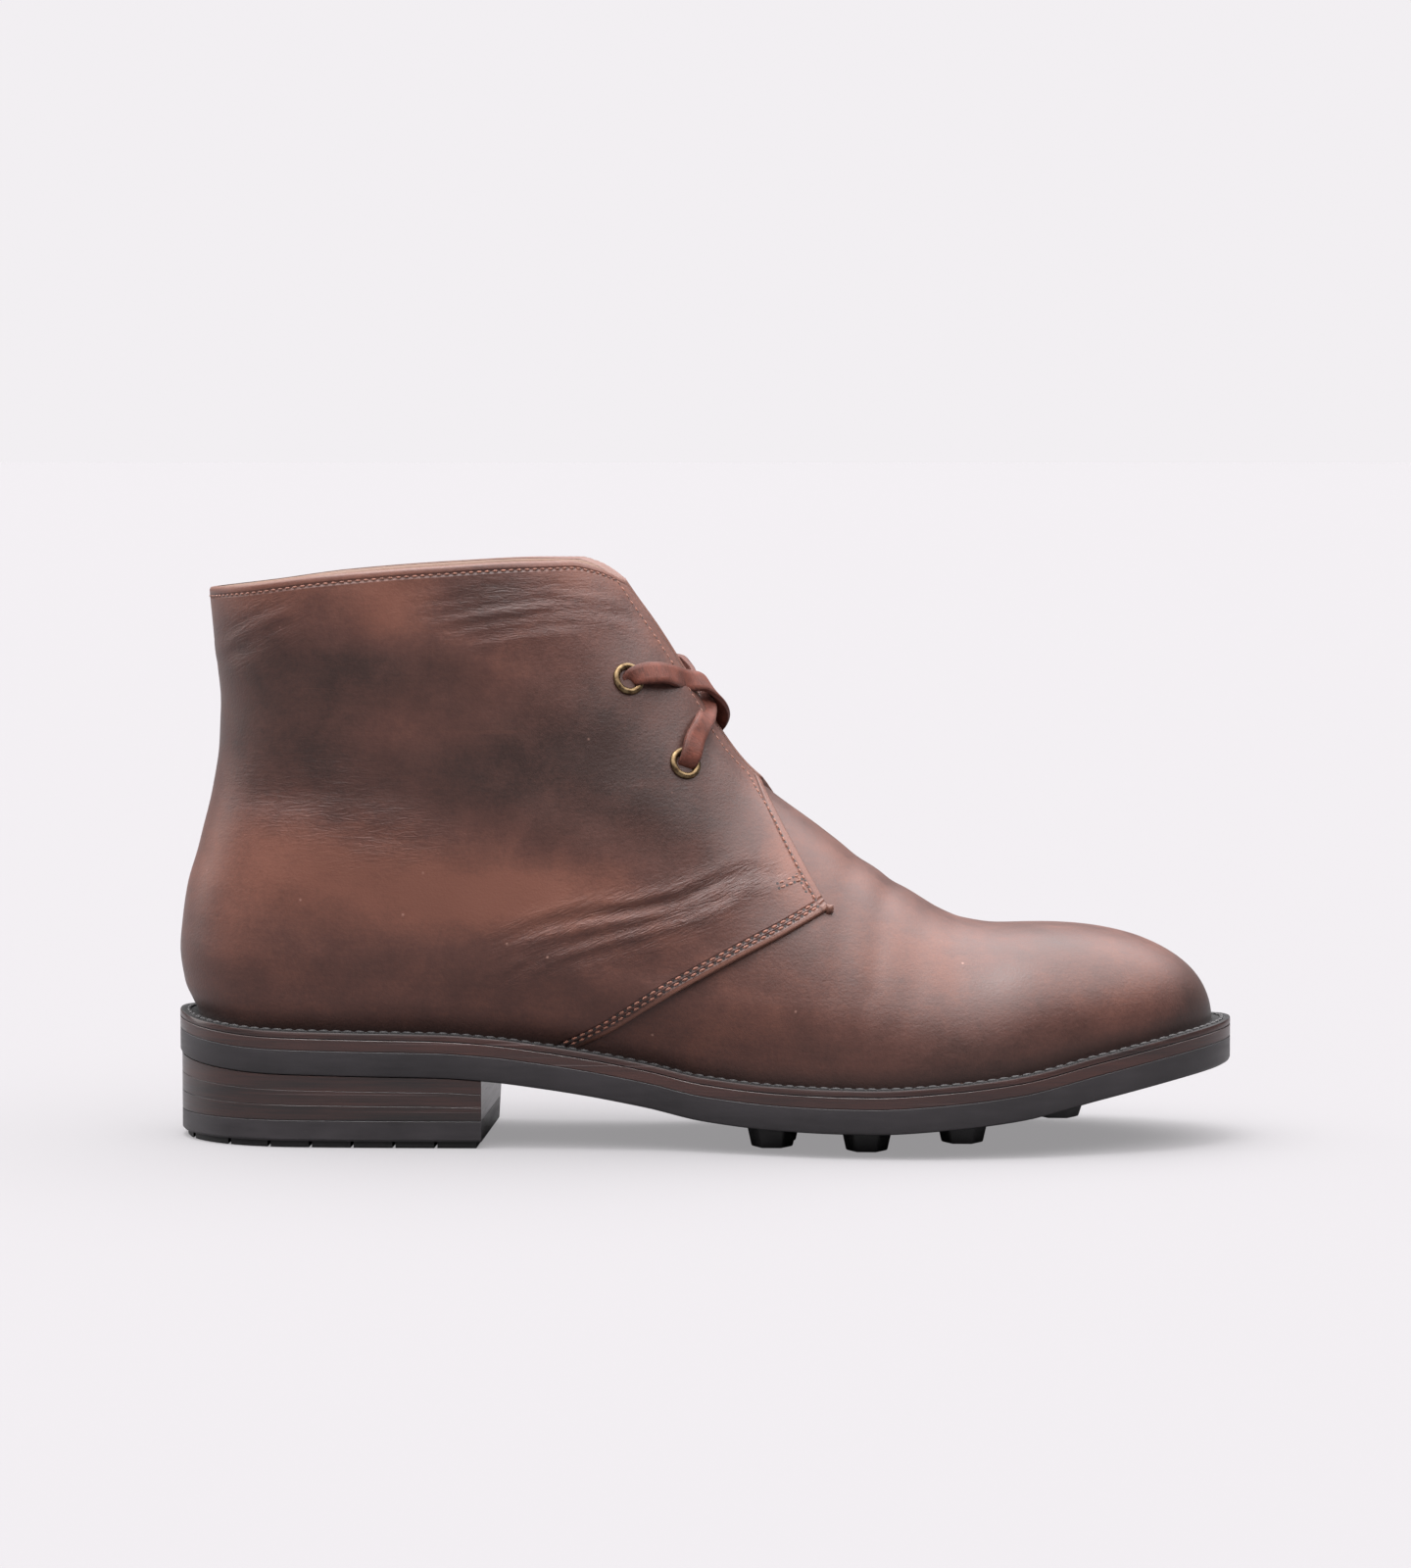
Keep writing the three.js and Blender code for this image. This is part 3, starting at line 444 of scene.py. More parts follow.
def to_part(points):
    """Millimetres from the sole's back to metres in the part's own frame."""
    moved = np.asarray(points, float) - np.array([SOLE_LENGTH / 2, SIDE_SHIFT, 0])
    return moved / 1000


def grid_normals(grid):
    across = np.gradient(grid, axis=1)
    along = np.gradient(grid, axis=0)
    normal = np.cross(across, along)
    length = np.linalg.norm(normal, axis=-1, keepdims=True)
    return normal / np.maximum(length, 1e-9)


def grid_faces(rows, columns, flip=False):
    k, j = np.meshgrid(np.arange(rows - 1), np.arange(columns - 1), indexing="ij")
    a = (k * columns + j).ravel()
    quads = np.stack([a, a + 1, a + columns + 1, a + columns], -1)
    return quads[:, ::-1] if flip else quads


def mode(name):
    bpy.ops.object.mode_set(mode=name)


def deselect():
    if bpy.context.object and bpy.context.object.mode != "OBJECT":
        mode("OBJECT")
    bpy.ops.object.select_all(action="DESELECT")


def activate(obj):
    deselect()
    obj.select_set(True)
    bpy.context.view_layer.objects.active = obj


def make_object(name, points, faces, attributes=None):
    mesh = bpy.data.meshes.new(name)
    mesh.from_pydata(to_part(points).tolist(), [], [tuple(int(i) for i in face) for face in faces])
    mesh.validate()
    for key, values in (attributes or {}).items():
        layer = mesh.attributes.new(key, "FLOAT", "POINT")
        layer.data.foreach_set("value", np.asarray(values, np.float32).ravel())
    obj = bpy.data.objects.new(name, mesh)
    bpy.context.scene.collection.objects.link(obj)
    return obj


def grid_object(name, grid, fields=None, flip=False):
    return make_object(name, grid.reshape(-1, 3), grid_faces(*grid.shape[:2], flip=flip), fields)


def settle(obj, material, nodes=(), angle=None):
    """Finishes a piece: its material, shading, body, and the nodes it stands for."""
    if not obj.data.materials:
        obj.data.materials.append(material)
    activate(obj)
    if angle is None:
        bpy.ops.object.shade_smooth()
    else:
        bpy.ops.object.shade_smooth_by_angle(angle=math.radians(angle))
    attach(obj, "root")
    if nodes:
        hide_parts(*nodes)
    return obj


def merge_and_face_out(obj, distance=0.00002):
    activate(obj)
    mode("EDIT")
    bpy.ops.mesh.select_all(action="SELECT")
    bpy.ops.mesh.remove_doubles(threshold=distance)
    bpy.ops.mesh.normals_make_consistent(inside=False)
    mode("OBJECT")


def join(objects, name):
    deselect()
    for obj in objects:
        obj.select_set(True)
    bpy.context.view_layer.objects.active = objects[0]
    bpy.ops.object.join()
    joined = bpy.context.view_layer.objects.active
    joined.name = name
    joined.data.name = name
    return joined


def apply_modifier(obj, kind, **values):
    activate(obj)
    modifier = obj.modifiers.new(kind.title(), kind)
    for key, value in values.items():
        setattr(modifier, key, value)
    bpy.ops.object.modifier_apply(modifier=modifier.name)


# The upper's shape in the side view

def throat_edge_x(z, side):
    """Where a quarter's front edge lies above the throat's end, beside the middle line."""
    low = np.full_like(z, float(x_at(0.2)))
    high = np.full_like(z, float(x_at(0.75)))
    for _ in range(50):
        middle = (low + high) / 2
        inside = (half_width(middle, z, side) > THROAT_GAP / 2) & (z < front_line(middle))
        low = np.where(inside, middle, low)
        high = np.where(inside, high, middle)
    return low


def facing_x(z):
    (at0, up0), (at1, up1) = FACING_TOP, FACING_CORNER
    share = (z - z_up(up0)) / (z_up(up1) - z_up(up0))
    return mix(x_at(at0), x_at(at1), share)


def resample(line, count):
    lengths = np.concatenate([[0], np.cumsum(np.linalg.norm(np.diff(line, axis=0), axis=1))])
    wanted = np.linspace(0, lengths[-1], count)
    return np.stack([np.interp(wanted, lengths, line[:, i]) for i in range(line.shape[1])], -1)


def quarter_edges(side, rows):
    """Side view lines of a quarter: bottom, top, back and front edge."""
    corner_z = float(z_up(FACING_CORNER[1]))
    z = np.linspace(float(z_up(-0.02)), corner_z, 400)
    x = seam_line(z)
    first = int(np.argmax(z > bed(x)))
    seam = np.stack([x, z], -1)[first:]
    z = np.linspace(corner_z, float(z_up(1)), 500)
    facing = np.stack([np.minimum(facing_x(z), throat_edge_x(z, side)), z], -1)
    inside = facing[:, 1] <= topline(facing[:, 0])
    facing = facing[: int(np.argmin(inside))]
    seam_rows = int(rows * 0.42)
    front = np.concatenate([resample(seam, seam_rows)[:-1], resample(facing, rows - seam_rows + 1)])
    back_z = float(bed(WELT_REACH))
    top_z = 150.0
    for _ in range(20):
        top_z = float(topline(back_line(top_z)))
    z = np.linspace(back_z, top_z, rows)
    back = np.stack([back_line(z), z], -1)
    return front, back, seam_rows - 1


def quarter_net(side, rows, columns):
    """Side view net of a quarter from its back seam to its front edge, bed to collar."""
    front, back, corner_row = quarter_edges(side, rows)
    u = 1 - np.cos(np.pi / 2 * np.linspace(0, 1, columns)) ** 1.35
    u[-1] = 1
    v = np.linspace(0, 1, rows)
    bottom_x = mix(back[0, 0], front[0, 0], u)
    bottom = np.stack([bottom_x, bed(bottom_x)], -1)
    top_x = mix(back[-1, 0], front[-1, 0], u)
    top = np.stack([top_x, topline(top_x)], -1)
    uu = u[None, :, None]
    vv = v[:, None, None]
    ruled = (1 - uu) * back[:, None] + uu * front[:, None]
    lofted = (1 - vv) * bottom[None] + vv * top[None]
    first = (1 - uu) * back[0] + uu * front[0]
    last = (1 - uu) * back[-1] + uu * front[-1]
    corners = (1 - vv) * first + vv * last
    net = ruled + lofted - corners
    net[..., 0] += (back_line(net[..., 1]) - back[:, :1]) * (1 - u) ** 4
    return net, corner_row


def both_quarters(rows, columns):
    """Net over both quarters, from the outer front edge round the heel to the inner one."""
    outer, corner_row = quarter_net(-1, rows, columns)
    inner, _ = quarter_net(1, rows, columns)
    outer_side = surface(outer[..., 0], outer[..., 1], -1)[:, ::-1]
    inner_side = surface(inner[..., 0], inner[..., 1], 1)[:, 1:]
    base = np.concatenate([outer_side, inner_side], 1)
    base[:, columns - 1, 1] = middle_line(base[:, columns - 1, 0])
    normal = -grid_normals(base)
    if normal[rows // 2, columns // 3, 1] > 0:
        normal = -normal
    return base, normal, corner_row


def crease_lift(x, z, strength):
    """Height of the creases and swells at side view points, in millimetres."""
    lift = np.zeros_like(x)
    for depth, width, ridge_side, places in CREASES:
        path = np.array([(float(x_at(a)), float(z_up(u))) for a, u in places])
        path = resample(path, 40)
        share = np.linspace(0, 1, 40)
        taper = np.sin(np.pi * np.clip(share, 0.02, 0.98)) ** 0.6
        near = np.full(x.shape, 1e9)
        above = np.zeros_like(x)
        fade = np.zeros_like(x)
        for i in range(len(path) - 1):
            a = path[i]
            d = path[i + 1] - a
            t = clamp(((x - a[0]) * d[0] + (z - a[1]) * d[1]) / (d @ d))
            dx = x - a[0] - t * d[0]
            dz = z - a[1] - t * d[1]
            distance = np.hypot(dx, dz)
            closer = distance < near
            near = np.where(closer, distance, near)
            above = np.where(closer, np.sign(d[0] * dz - d[1] * dx), above)
            fade = np.where(closer, mix(taper[i], taper[i + 1], t), fade)
        trough = -np.exp(-((near / width) ** 2))
        ridge = 0.55 * np.exp(-(((near * above * ridge_side - 1.7 * width) / width) ** 2))
        lift += depth * fade * (trough + ridge)
    for at, up, long, high, swell in SWELLS:
        gx = (x - x_at(at)) / (long * LAST_LENGTH)
        gz = (z - z_up(up)) / (high * SHAFT_HEIGHT)
        lift += swell * np.exp(-gx ** 2 - gz ** 2)
    lift += 0.16 * np.sin(x / 9.0 + 1.3 * np.sin(z / 14.0)) * np.sin(z / 7.5 + x / 31.0)
    lift += 0.1 * np.sin(x / 4.3 + z / 11.0 + 2.0) * np.sin(z / 3.9 - x / 17.0)
    return lift * strength


def wrinkle_masks(x, z):
    """How strongly the fine level and slanting wrinkles show around the creases."""
    masks = {"level": np.zeros_like(x), "slant": np.zeros_like(x)}
    for depth, width, _, places in CREASES:
        path = np.array([(float(x_at(a)), float(z_up(u))) for a, u in places])
        rise = (path[-1, 1] - path[0, 1]) / (path[-1, 0] - path[0, 0])
        name = "slant" if rise > 0.18 else "level"
        path = resample(path, 24)
        taper = np.sin(np.pi * np.linspace(0.06, 0.94, 24)) ** 0.8
        reach = 3.2 * width
        for place, strength in zip(path, taper):
            near = np.exp(-((x - place[0]) ** 2 + (z - place[1]) ** 2) / reach ** 2)
            masks[name] = np.maximum(masks[name], near * strength * min(1.0, depth * 1.6))
    return masks


def tone_and_painted_light_of(x, z, side):
    """How light or dark the leather is painted at side view points: the waxed leather's own pull-up tone
    together with painted light and shade.
    """
    mirror = np.where(np.asarray(side) < 0, 1.0, 0.7)
    tone = np.zeros_like(x)
    for at, up, long, high, change in TONES_AND_PAINTED_LIGHT:
        gx = (x - x_at(at)) / (long * LAST_LENGTH)
        gz = (z - z_up(up)) / (high * SHAFT_HEIGHT)
        tone += change * np.exp(-(gx ** 2 + gz ** 2) * 0.8)
    return tone * mirror


def distance_to(grid, line):
    """Distance from every grid point to a line of points, in millimetres."""
    flat = grid.reshape(-1, 3)
    near = np.full(len(flat), 1e9)
    for a, b in zip(line[:-1], line[1:]):
        d = b - a
        t = clamp(((flat - a) @ d) / max(d @ d, 1e-9))
        near = np.minimum(near, np.linalg.norm(flat - a - t[:, None] * d, axis=1))
    return near.reshape(grid.shape[:2])


def edge_drop(distance, radius):
    inner = np.clip(radius - distance, 0, radius)
    return radius - np.sqrt(radius ** 2 - inner ** 2)


# Materials

def node(tree, kind, inputs=None, **values):
    made = tree.nodes.new(f"ShaderNode{kind}")
    for key, value in values.items():
        setattr(made, key, value)
    for key, value in (inputs or {}).items():
        if isinstance(value, bpy.types.NodeSocket):
            tree.links.new(value, made.inputs[key])
        else:
            made.inputs[key].default_value = value
    return made


def maths(tree, operation, a, b=0.0, clamped=False):
    made = node(tree, "Math", {0: a, 1: b}, operation=operation, use_clamp=clamped)
    return made.outputs[0]


def times(tree, a, b):
    return maths(tree, "MULTIPLY", a, b)


def plus(tree, a, b, clamped=False):
    return maths(tree, "ADD", a, b, clamped)


def wire(tree, shader, inputs):
    for name, value in inputs.items():
        tree.links.new(value, shader.inputs[name])


def scaled(colour, share):
    return [min(1.0, c * share) for c in colour]


def blend_colours(tree, share, a, b):
    made = node(tree, "Mix", data_type="RGBA")
    for key, value in (("Factor", share), ("A", a), ("B", b)):
        kind = "VALUE" if key == "Factor" else "RGBA"
        socket = next(s for s in made.inputs if s.name == key and s.type == kind)
        if isinstance(value, bpy.types.NodeSocket):
            tree.links.new(value, socket)
        else:
            socket.default_value = value
    return next(s for s in made.outputs if s.type == "RGBA")


def ramp_share(tree, value, low, high):
    made = node(tree, "MapRange", {"Value": value, "From Min": low, "From Max": high}, clamp=True)
    return made.outputs["Result"]


def noise(tree, coords, scale, detail=3.0, rough=0.55, distortion=0.0):
    made = node(tree, "TexNoise",
                {"Vector": coords, "Scale": scale, "Detail": detail, "Roughness": rough,
                 "Distortion": distortion})
    return made.outputs["Fac"]


def stretched(tree, coords, scale, turn=(0, 0, 0)):
    made = node(tree, "Mapping", {"Vector": coords, "Scale": scale, "Rotation": turn})
    return made.outputs["Vector"]


GROUP_OUTPUTS = [("Color", "NodeSocketColor"), ("Roughness", "NodeSocketFloat"),
        ("Normal", "NodeSocketVector")]


def new_group(name, inputs, outputs):
    group = bpy.data.node_groups.new(name, "ShaderNodeTree")
    for label, default in inputs:
        kind = "NodeSocketColor" if isinstance(default, tuple) else "NodeSocketFloat"
        socket = group.interface.new_socket(label, in_out="INPUT", socket_type=kind)
        socket.default_value = default
    for label, kind in outputs:
        group.interface.new_socket(label, in_out="OUTPUT", socket_type=kind)
    source = group.nodes.new("NodeGroupInput")
    sink = group.nodes.new("NodeGroupOutput")
    return group, source, sink


def leather_group():
    """Waxed pull-up leather: mottle, streaks, specks, scratches and a fine grain."""
    name = "waxed leather"
    if name in bpy.data.node_groups:
        return bpy.data.node_groups[name]
    group, source, sink = new_group(
        name,
        [("Dark", (0.05, 0.02, 0.015, 1)), ("Middle", (0.12, 0.05, 0.035, 1)),
         ("Light", (0.25, 0.11, 0.08, 1)), ("Tone", 0.0),
         ("Mottle", 1.0), ("Grain", 1.0)],
        GROUP_OUTPUTS,
    )
    coords = node(group, "TexCoord").outputs["Object"]
    broad = noise(group, coords, 26.0, 4.0, 0.55, 0.4)
    patch = noise(group, coords, 95.0, 5.0, 0.6, 0.3)
    streak = noise(group, stretched(group, coords, (90.0, 90.0, 700.0)), 1.0, 4.0, 0.6)
    fine = noise(group, coords, 900.0, 3.0, 0.6)
    broad = times(group, maths(group, "SUBTRACT", broad, 0.5), 0.7)
    patch = times(group, maths(group, "SUBTRACT", patch, 0.5), 0.95)
    streak = times(group, maths(group, "SUBTRACT", streak, 0.5), 0.3)
    fine_shift = times(group, maths(group, "SUBTRACT", fine, 0.5), 0.55)
    mottle = plus(group, plus(group, broad, patch), plus(group, streak, fine_shift))
    mottle = times(group, mottle, source.outputs["Mottle"])
    share = plus(group, plus(group, mottle, source.outputs["Tone"]), 0.5, True)
    lower = ramp_share(group, share, 0.0, 0.5)
    upper = ramp_share(group, share, 0.5, 1.0)
    colour = blend_colours(group, lower, source.outputs["Dark"], source.outputs["Middle"])
    colour = blend_colours(group, upper, colour, source.outputs["Light"])
    speck_cells = node(group, "TexVoronoi", {"Vector": coords, "Scale": 170.0})
    speck_near = ramp_share(group, speck_cells.outputs["Distance"], 0.09, 0.03)
    speck_pick = ramp_share(group, node(group, "SeparateColor",
            {0: speck_cells.outputs["Color"]}).outputs[0], 0.9, 0.92)
    speck = times(group, times(group, speck_near, speck_pick), 0.5)
    colour = blend_colours(group, speck, colour, (0.42, 0.24, 0.19, 1))
    scratch_line = noise(group, stretched(group, coords, (18.0, 18.0, 420.0), (0.0, 0.35, 0.2)), 1.0,
            2.0, 0.5)
    scratch = times(group, ramp_share(group, scratch_line, 0.735, 0.78), 0.1)
    colour = blend_colours(group, scratch, colour, source.outputs["Light"])
    pebble = node(group, "TexVoronoi", {"Vector": coords, "Scale": 1500.0},
            feature="SMOOTH_F1").outputs["Distance"]
    pores = noise(group, coords, 2600.0, 2.0, 0.6)
    hatch = noise(group, stretched(group, coords, (420.0, 420.0, 900.0)), 1.0, 3.0, 0.6, 0.0)
    height = plus(group, times(group, pebble, 0.45), times(group, pores, 0.35))
    height = plus(group, height, times(group, hatch, 0.7))
    height = times(group, height, source.outputs["Grain"])
    bump = node(group, "Bump", {"Height": height, "Strength": 0.55, "Distance": 0.00016})
    gloss = plus(group, times(group, patch, 0.14), times(group, fine_shift, 0.3))
    gloss = plus(group, gloss, 0.44)
    wire(group, sink, {"Color": colour, "Roughness": gloss, "Normal": bump.outputs["Normal"]})
    return group


def streak_group():
    """Cut and burnished leather edge or stack: level fibre streaks and thin lines."""
    name = "burnished stack"
    if name in bpy.data.node_groups:
        return bpy.data.node_groups[name]
    group, source, sink = new_group(
        name,
        [("Dark", (0.02, 0.015, 0.015, 1)), ("Red", (0.09, 0.03, 0.025, 1)),
         ("Redness", 0.5)],
        GROUP_OUTPUTS,
    )
    coords = node(group, "TexCoord").outputs["Object"]
    broad = noise(group, stretched(group, coords, (14.0, 14.0, 260.0)), 1.0, 4.0, 0.6)
    fibre = noise(group, stretched(group, coords, (40.0, 40.0, 1800.0)), 1.0, 4.0, 0.65)
    patch = noise(group, stretched(group, coords, (30.0, 30.0, 90.0)), 1.0, 3.0, 0.5)
    share = plus(group, times(group, broad, 0.6), times(group, fibre, 0.55))
    share = plus(group, share, times(group, patch, 0.35))
    share = plus(group, share, times(group, source.outputs["Redness"], 0.5))
    share = ramp_share(group, share, 0.86, 1.32)
    colour = blend_colours(group, share, source.outputs["Dark"], source.outputs["Red"])
    thin = noise(group, stretched(group, coords, (6.0, 6.0, 1500.0)), 1.0, 2.0, 0.5)
    thin = times(group, ramp_share(group, thin, 0.69, 0.73), 0.35)
    colour = blend_colours(group, thin, colour, (0.2, 0.15, 0.15, 1))
    height = maths(group, "SUBTRACT", fibre, times(group, thin, 1.2))
    bump = node(group, "Bump", {"Height": height, "Strength": 0.35, "Distance": 0.0002})
    gloss = plus(group, times(group, fibre, 0.22), 0.24)
    wire(group, sink, {"Color": colour, "Roughness": gloss, "Normal": bump.outputs["Normal"]})
    return group


def new_material(name, metallic=0.0, rough=0.5, coat=0.0, coat_rough=0.3, sheen=0.0, specular=0.5):
    material = bpy.data.materials.new(name)
    material.use_nodes = True
    tree = material.node_tree
    shader = tree.nodes["Principled BSDF"]
    shader.inputs["Metallic"].default_value = metallic
    shader.inputs["Roughness"].default_value = rough
    shader.inputs["Coat Weight"].default_value = coat
    shader.inputs["Coat Roughness"].default_value = coat_rough
    shader.inputs["Sheen Weight"].default_value = sheen
    shader.inputs["Sheen Roughness"].default_value = 0.5
    shader.inputs["Specular IOR Level"].default_value = specular
    return material, tree, shader


def rgba(colour):
    return (colour[0], colour[1], colour[2], 1.0)


def attribute(tree, name):
    return node(tree, "Attribute", attribute_name=name, attribute_type="GEOMETRY").outputs["Fac"]


def upper_leather(name, grooves):
    """The upper's leather. Reads tone, edge and seam distances carried by the piece."""
    colours = bpy.context.scene.boot_colours
    material, tree, shader = new_material(name, sheen=0.04, specular=0.44)
    # tone: the leather's own pull-up tone together with painted light and shade from the side view table
    tone = attribute(tree, "tone")
    edge = attribute(tree, "edge")
    seam = attribute(tree, "seam")
    low = attribute(tree, "low")
    band = times(tree, ramp_share(tree, edge, 13.0, 2.0), 0.34)
    tone = plus(tree, tone, band)
    leather = node(tree, "Group", node_tree=leather_group())
    leather.inputs["Dark"].default_value = rgba(colours.leather_dark)
    leather.inputs["Middle"].default_value = rgba(colours.leather_middle)
    leather.inputs["Light"].default_value = rgba(colours.leather_light)
    leather.inputs["Mottle"].default_value = 0.72
    leather.inputs["Grain"].default_value = 1.0
    tree.links.new(tone, leather.inputs["Tone"])
    colour = leather.outputs["Color"]
    raw = maths(tree, "MAXIMUM", ramp_share(tree, edge, 0.75, 0.35), ramp_share(tree, seam, 1.5, 1.1))
    colour = blend_colours(tree, raw, colour, rgba(colours.cut_edge))
    pressed = ramp_share(tree, maths(tree, "ABSOLUTE", maths(tree, "SUBTRACT", edge, grooves[0])), 0.75,
            0.15)
    for distance in grooves[1:]:
        other = ramp_share(tree, maths(tree, "ABSOLUTE", maths(tree, "SUBTRACT", seam, distance)), 0.75,
                0.15)
        pressed = maths(tree, "MAXIMUM", pressed, other)
    colour = blend_colours(tree, times(tree, pressed, 0.35), colour, rgba(colours.leather_dark))
    # painted shade: the leather is painted darker within a few millimetres of the welt, where shade falls
    shade = times(tree, ramp_share(tree, low, 8.5, 2.5), 0.88)
    colour = blend_colours(tree, shade, colour, rgba(colours.leather_painted_shade))
    coords = node(tree, "TexCoord").outputs["Object"]
    level = noise(tree, stretched(tree, coords, (150.0, 150.0, 720.0)), 1.0, 4.0, 0.6, 1.6)
    turned = stretched(tree, coords, (1.0, 1.0, 1.0), (0.0, 0.42, 0.0))
    slant = noise(tree, stretched(tree, turned, (130.0, 130.0, 680.0)), 1.0, 4.0, 0.6, 1.6)
    wrinkles = times(tree, level, attribute(tree, "level"))
    wrinkles = plus(tree, wrinkles, times(tree, slant, attribute(tree, "slant")))
    folded = node(tree, "Bump", {"Height": wrinkles, "Strength": 0.8, "Distance": 0.001,
                                           "Normal": leather.outputs["Normal"]})
    bump = node(tree, "Bump", {"Height": times(tree, pressed, -1.0), "Strength": 0.6,
                                         "Distance": 0.0005, "Normal": folded.outputs["Normal"]})
    wire(tree, shader, {"Base Color": colour, "Roughness": leather.outputs["Roughness"],
            "Normal": bump.outputs["Normal"]})
    return material


def plain_leather(name, dark, middle, light, grain=1.0, mottle=0.6, tone=0.0, specular=0.4):
    material, tree, shader = new_material(name, sheen=0.1, specular=specular)
    leather = node(tree, "Group", node_tree=leather_group())
    leather.inputs["Dark"].default_value = rgba(dark)
    leather.inputs["Middle"].default_value = rgba(middle)
    leather.inputs["Light"].default_value = rgba(light)
    leather.inputs["Tone"].default_value = tone
    leather.inputs["Mottle"].default_value = mottle
    leather.inputs["Grain"].default_value = grain
    wire(tree, shader, {"Base Color": leather.outputs["Color"],
            "Roughness": leather.outputs["Roughness"], "Normal": leather.outputs["Normal"]})
    return material


def stack_leather(name, redness, coat=0.4):
    colours = bpy.context.scene.boot_colours
    material, tree, shader = new_material(name, coat=coat, coat_rough=0.16)
    streaks = node(tree, "Group", node_tree=streak_group())
    streaks.inputs["Dark"].default_value = rgba(colours.stack_dark)
    streaks.inputs["Red"].default_value = rgba(colours.stack_red)
    streaks.inputs["Redness"].default_value = redness
    wire(tree, shader, {"Base Color": streaks.outputs["Color"],
            "Roughness": streaks.outputs["Roughness"], "Normal": streaks.outputs["Normal"]})
    return material


def rubber(name, colour, rough=0.5):
    material, tree, shader = new_material(name, coat=0.1, coat_rough=0.35)
    coords = node(tree, "TexCoord").outputs["Object"]
    cloud = noise(tree, coords, 40.0, 4.0, 0.6)
    fine = noise(tree, coords, 1500.0, 2.0, 0.6)
    scuff = noise(tree, stretched(tree, coords, (60.0, 60.0, 500.0)), 1.0, 3.0, 0.6)
    share = plus(tree, times(tree, cloud, 0.6), times(tree, scuff, 0.4))
    light = scaled(colour, 1.45)
    dark = scaled(colour, 0.75)
    shade = blend_colours(tree, ramp_share(tree, share, 0.35, 0.65), rgba(dark), rgba(light))
    bump = node(tree, "Bump", {"Height": plus(tree, fine, scuff), "Strength": 0.3, "Distance": 0.0001})
    gloss = plus(tree, times(tree, maths(tree, "SUBTRACT", scuff, 0.5), 0.3), rough)
    wire(tree, shader, {"Base Color": shade, "Roughness": gloss, "Normal": bump.outputs["Normal"]})
    return material


def thread(name, colour, twist=900.0):
    material, tree, shader = new_material(name, rough=0.6, sheen=0.2)
    coords = node(tree, "TexCoord").outputs["Object"]
    strands = noise(tree, coords, twist, 2.0, 0.6)
    dark = scaled(colour, 0.55)
    shade = blend_colours(tree, ramp_share(tree, strands, 0.35, 0.62), rgba(dark), rgba(colour))
    bump = node(tree, "Bump", {"Height": strands, "Strength": 0.5, "Distance": 0.0002})
    wire(tree, shader, {"Base Color": shade, "Normal": bump.outputs["Normal"]})
    return material


def brass(name, colour):
    material, tree, shader = new_material(name, metallic=1.0, rough=0.3)
    coords = node(tree, "TexCoord").outputs["Object"]
    tarnish = noise(tree, coords, 500.0, 4.0, 0.6)
    fine = noise(tree, coords, 2500.0, 2.0, 0.5)
    dark = (colour[0] * 0.35, colour[1] * 0.3, colour[2] * 0.3)
    shade = blend_colours(tree, ramp_share(tree, tarnish, 0.35, 0.6), rgba(dark), rgba(colour))
    gloss = plus(tree, times(tree, tarnish, 0.3), 0.24)
    bump = node(tree, "Bump", {"Height": fine, "Strength": 0.2, "Distance": 0.00005})
    wire(tree, shader, {"Base Color": shade, "Roughness": gloss, "Normal": bump.outputs["Normal"]})
    return material


# Stitches

def along_line(lengths, values, wanted):
    return np.array([np.interp(wanted, lengths, values[:, i]) for i in range(3)])


def stitch_mesh(name, line, normals, pitch, length, width, height, sides=6):
    """A row of rounded stitches lying along a line, each its own short bead of thread."""
    lengths = np.concatenate([[0], np.cumsum(np.linalg.norm(np.diff(line, axis=0), axis=1))])
    count = max(1, int(lengths[-1] // pitch))
    starts = (np.arange(count) + 0.5) * lengths[-1] / count
    along = np.linspace(-1, 1, 5)
    profile = np.sqrt(np.clip(1 - along ** 2, 0, 1)) ** 0.75
    profile[[0, -1]] = 0.25
    turn = np.linspace(0, 2 * np.pi, sides, endpoint=False)
    points = []
    faces = []
    for start in starts:
        centre = along_line(lengths, line, start)
        ahead = along_line(lengths, line, min(start + 0.6, lengths[-1]))
        ahead = ahead - along_line(lengths, line, max(start - 0.6, 0))
        ahead /= np.linalg.norm(ahead)
        up = along_line(lengths, normals, start)
        up = up - ahead * (up @ ahead)
        up /= np.linalg.norm(up)
        across = np.cross(ahead, up)
        first = len(points)
        for a, r in zip(along, profile):
            for angle in turn:
                offset = across * (math.cos(angle) * r * width / 2) + up * (math.sin(angle) * r * height / 2)
                points.append(centre + ahead * (a * length / 2) + offset)
        for k in range(len(along) - 1):
            for j in range(sides):
                a0 = first + k * sides + j
                a1 = first + k * sides + (j + 1) % sides
                faces.append((a0, a1, a1 + sides, a0 + sides))
        last = first + (len(along) - 1) * sides
        faces.append(tuple(first + j for j in reversed(range(sides))))
        faces.append(tuple(last + j for j in range(sides)))
    mesh = bpy.data.meshes.new(name)
    mesh.from_pydata(to_part(np.array(points)).tolist(), [], faces)
    obj = bpy.data.objects.new(name, mesh)
    bpy.context.scene.collection.objects.link(obj)
    return obj


def hole_line(line, normals, pitch):
    """Places of the needle holes, halfway between neighbouring stitches."""
    lengths = np.concatenate([[0], np.cumsum(np.linalg.norm(np.diff(line, axis=0), axis=1))])
    count = max(1, int(lengths[-1] // pitch))
    places = np.arange(count + 1) * lengths[-1] / count
    centres = np.stack([np.interp(places, lengths, line[:, i]) for i in range(3)], -1)
    ups = np.stack([np.interp(places, lengths, normals[:, i]) for i in range(3)], -1)
    return centres, ups / np.linalg.norm(ups, axis=1)[:, None]
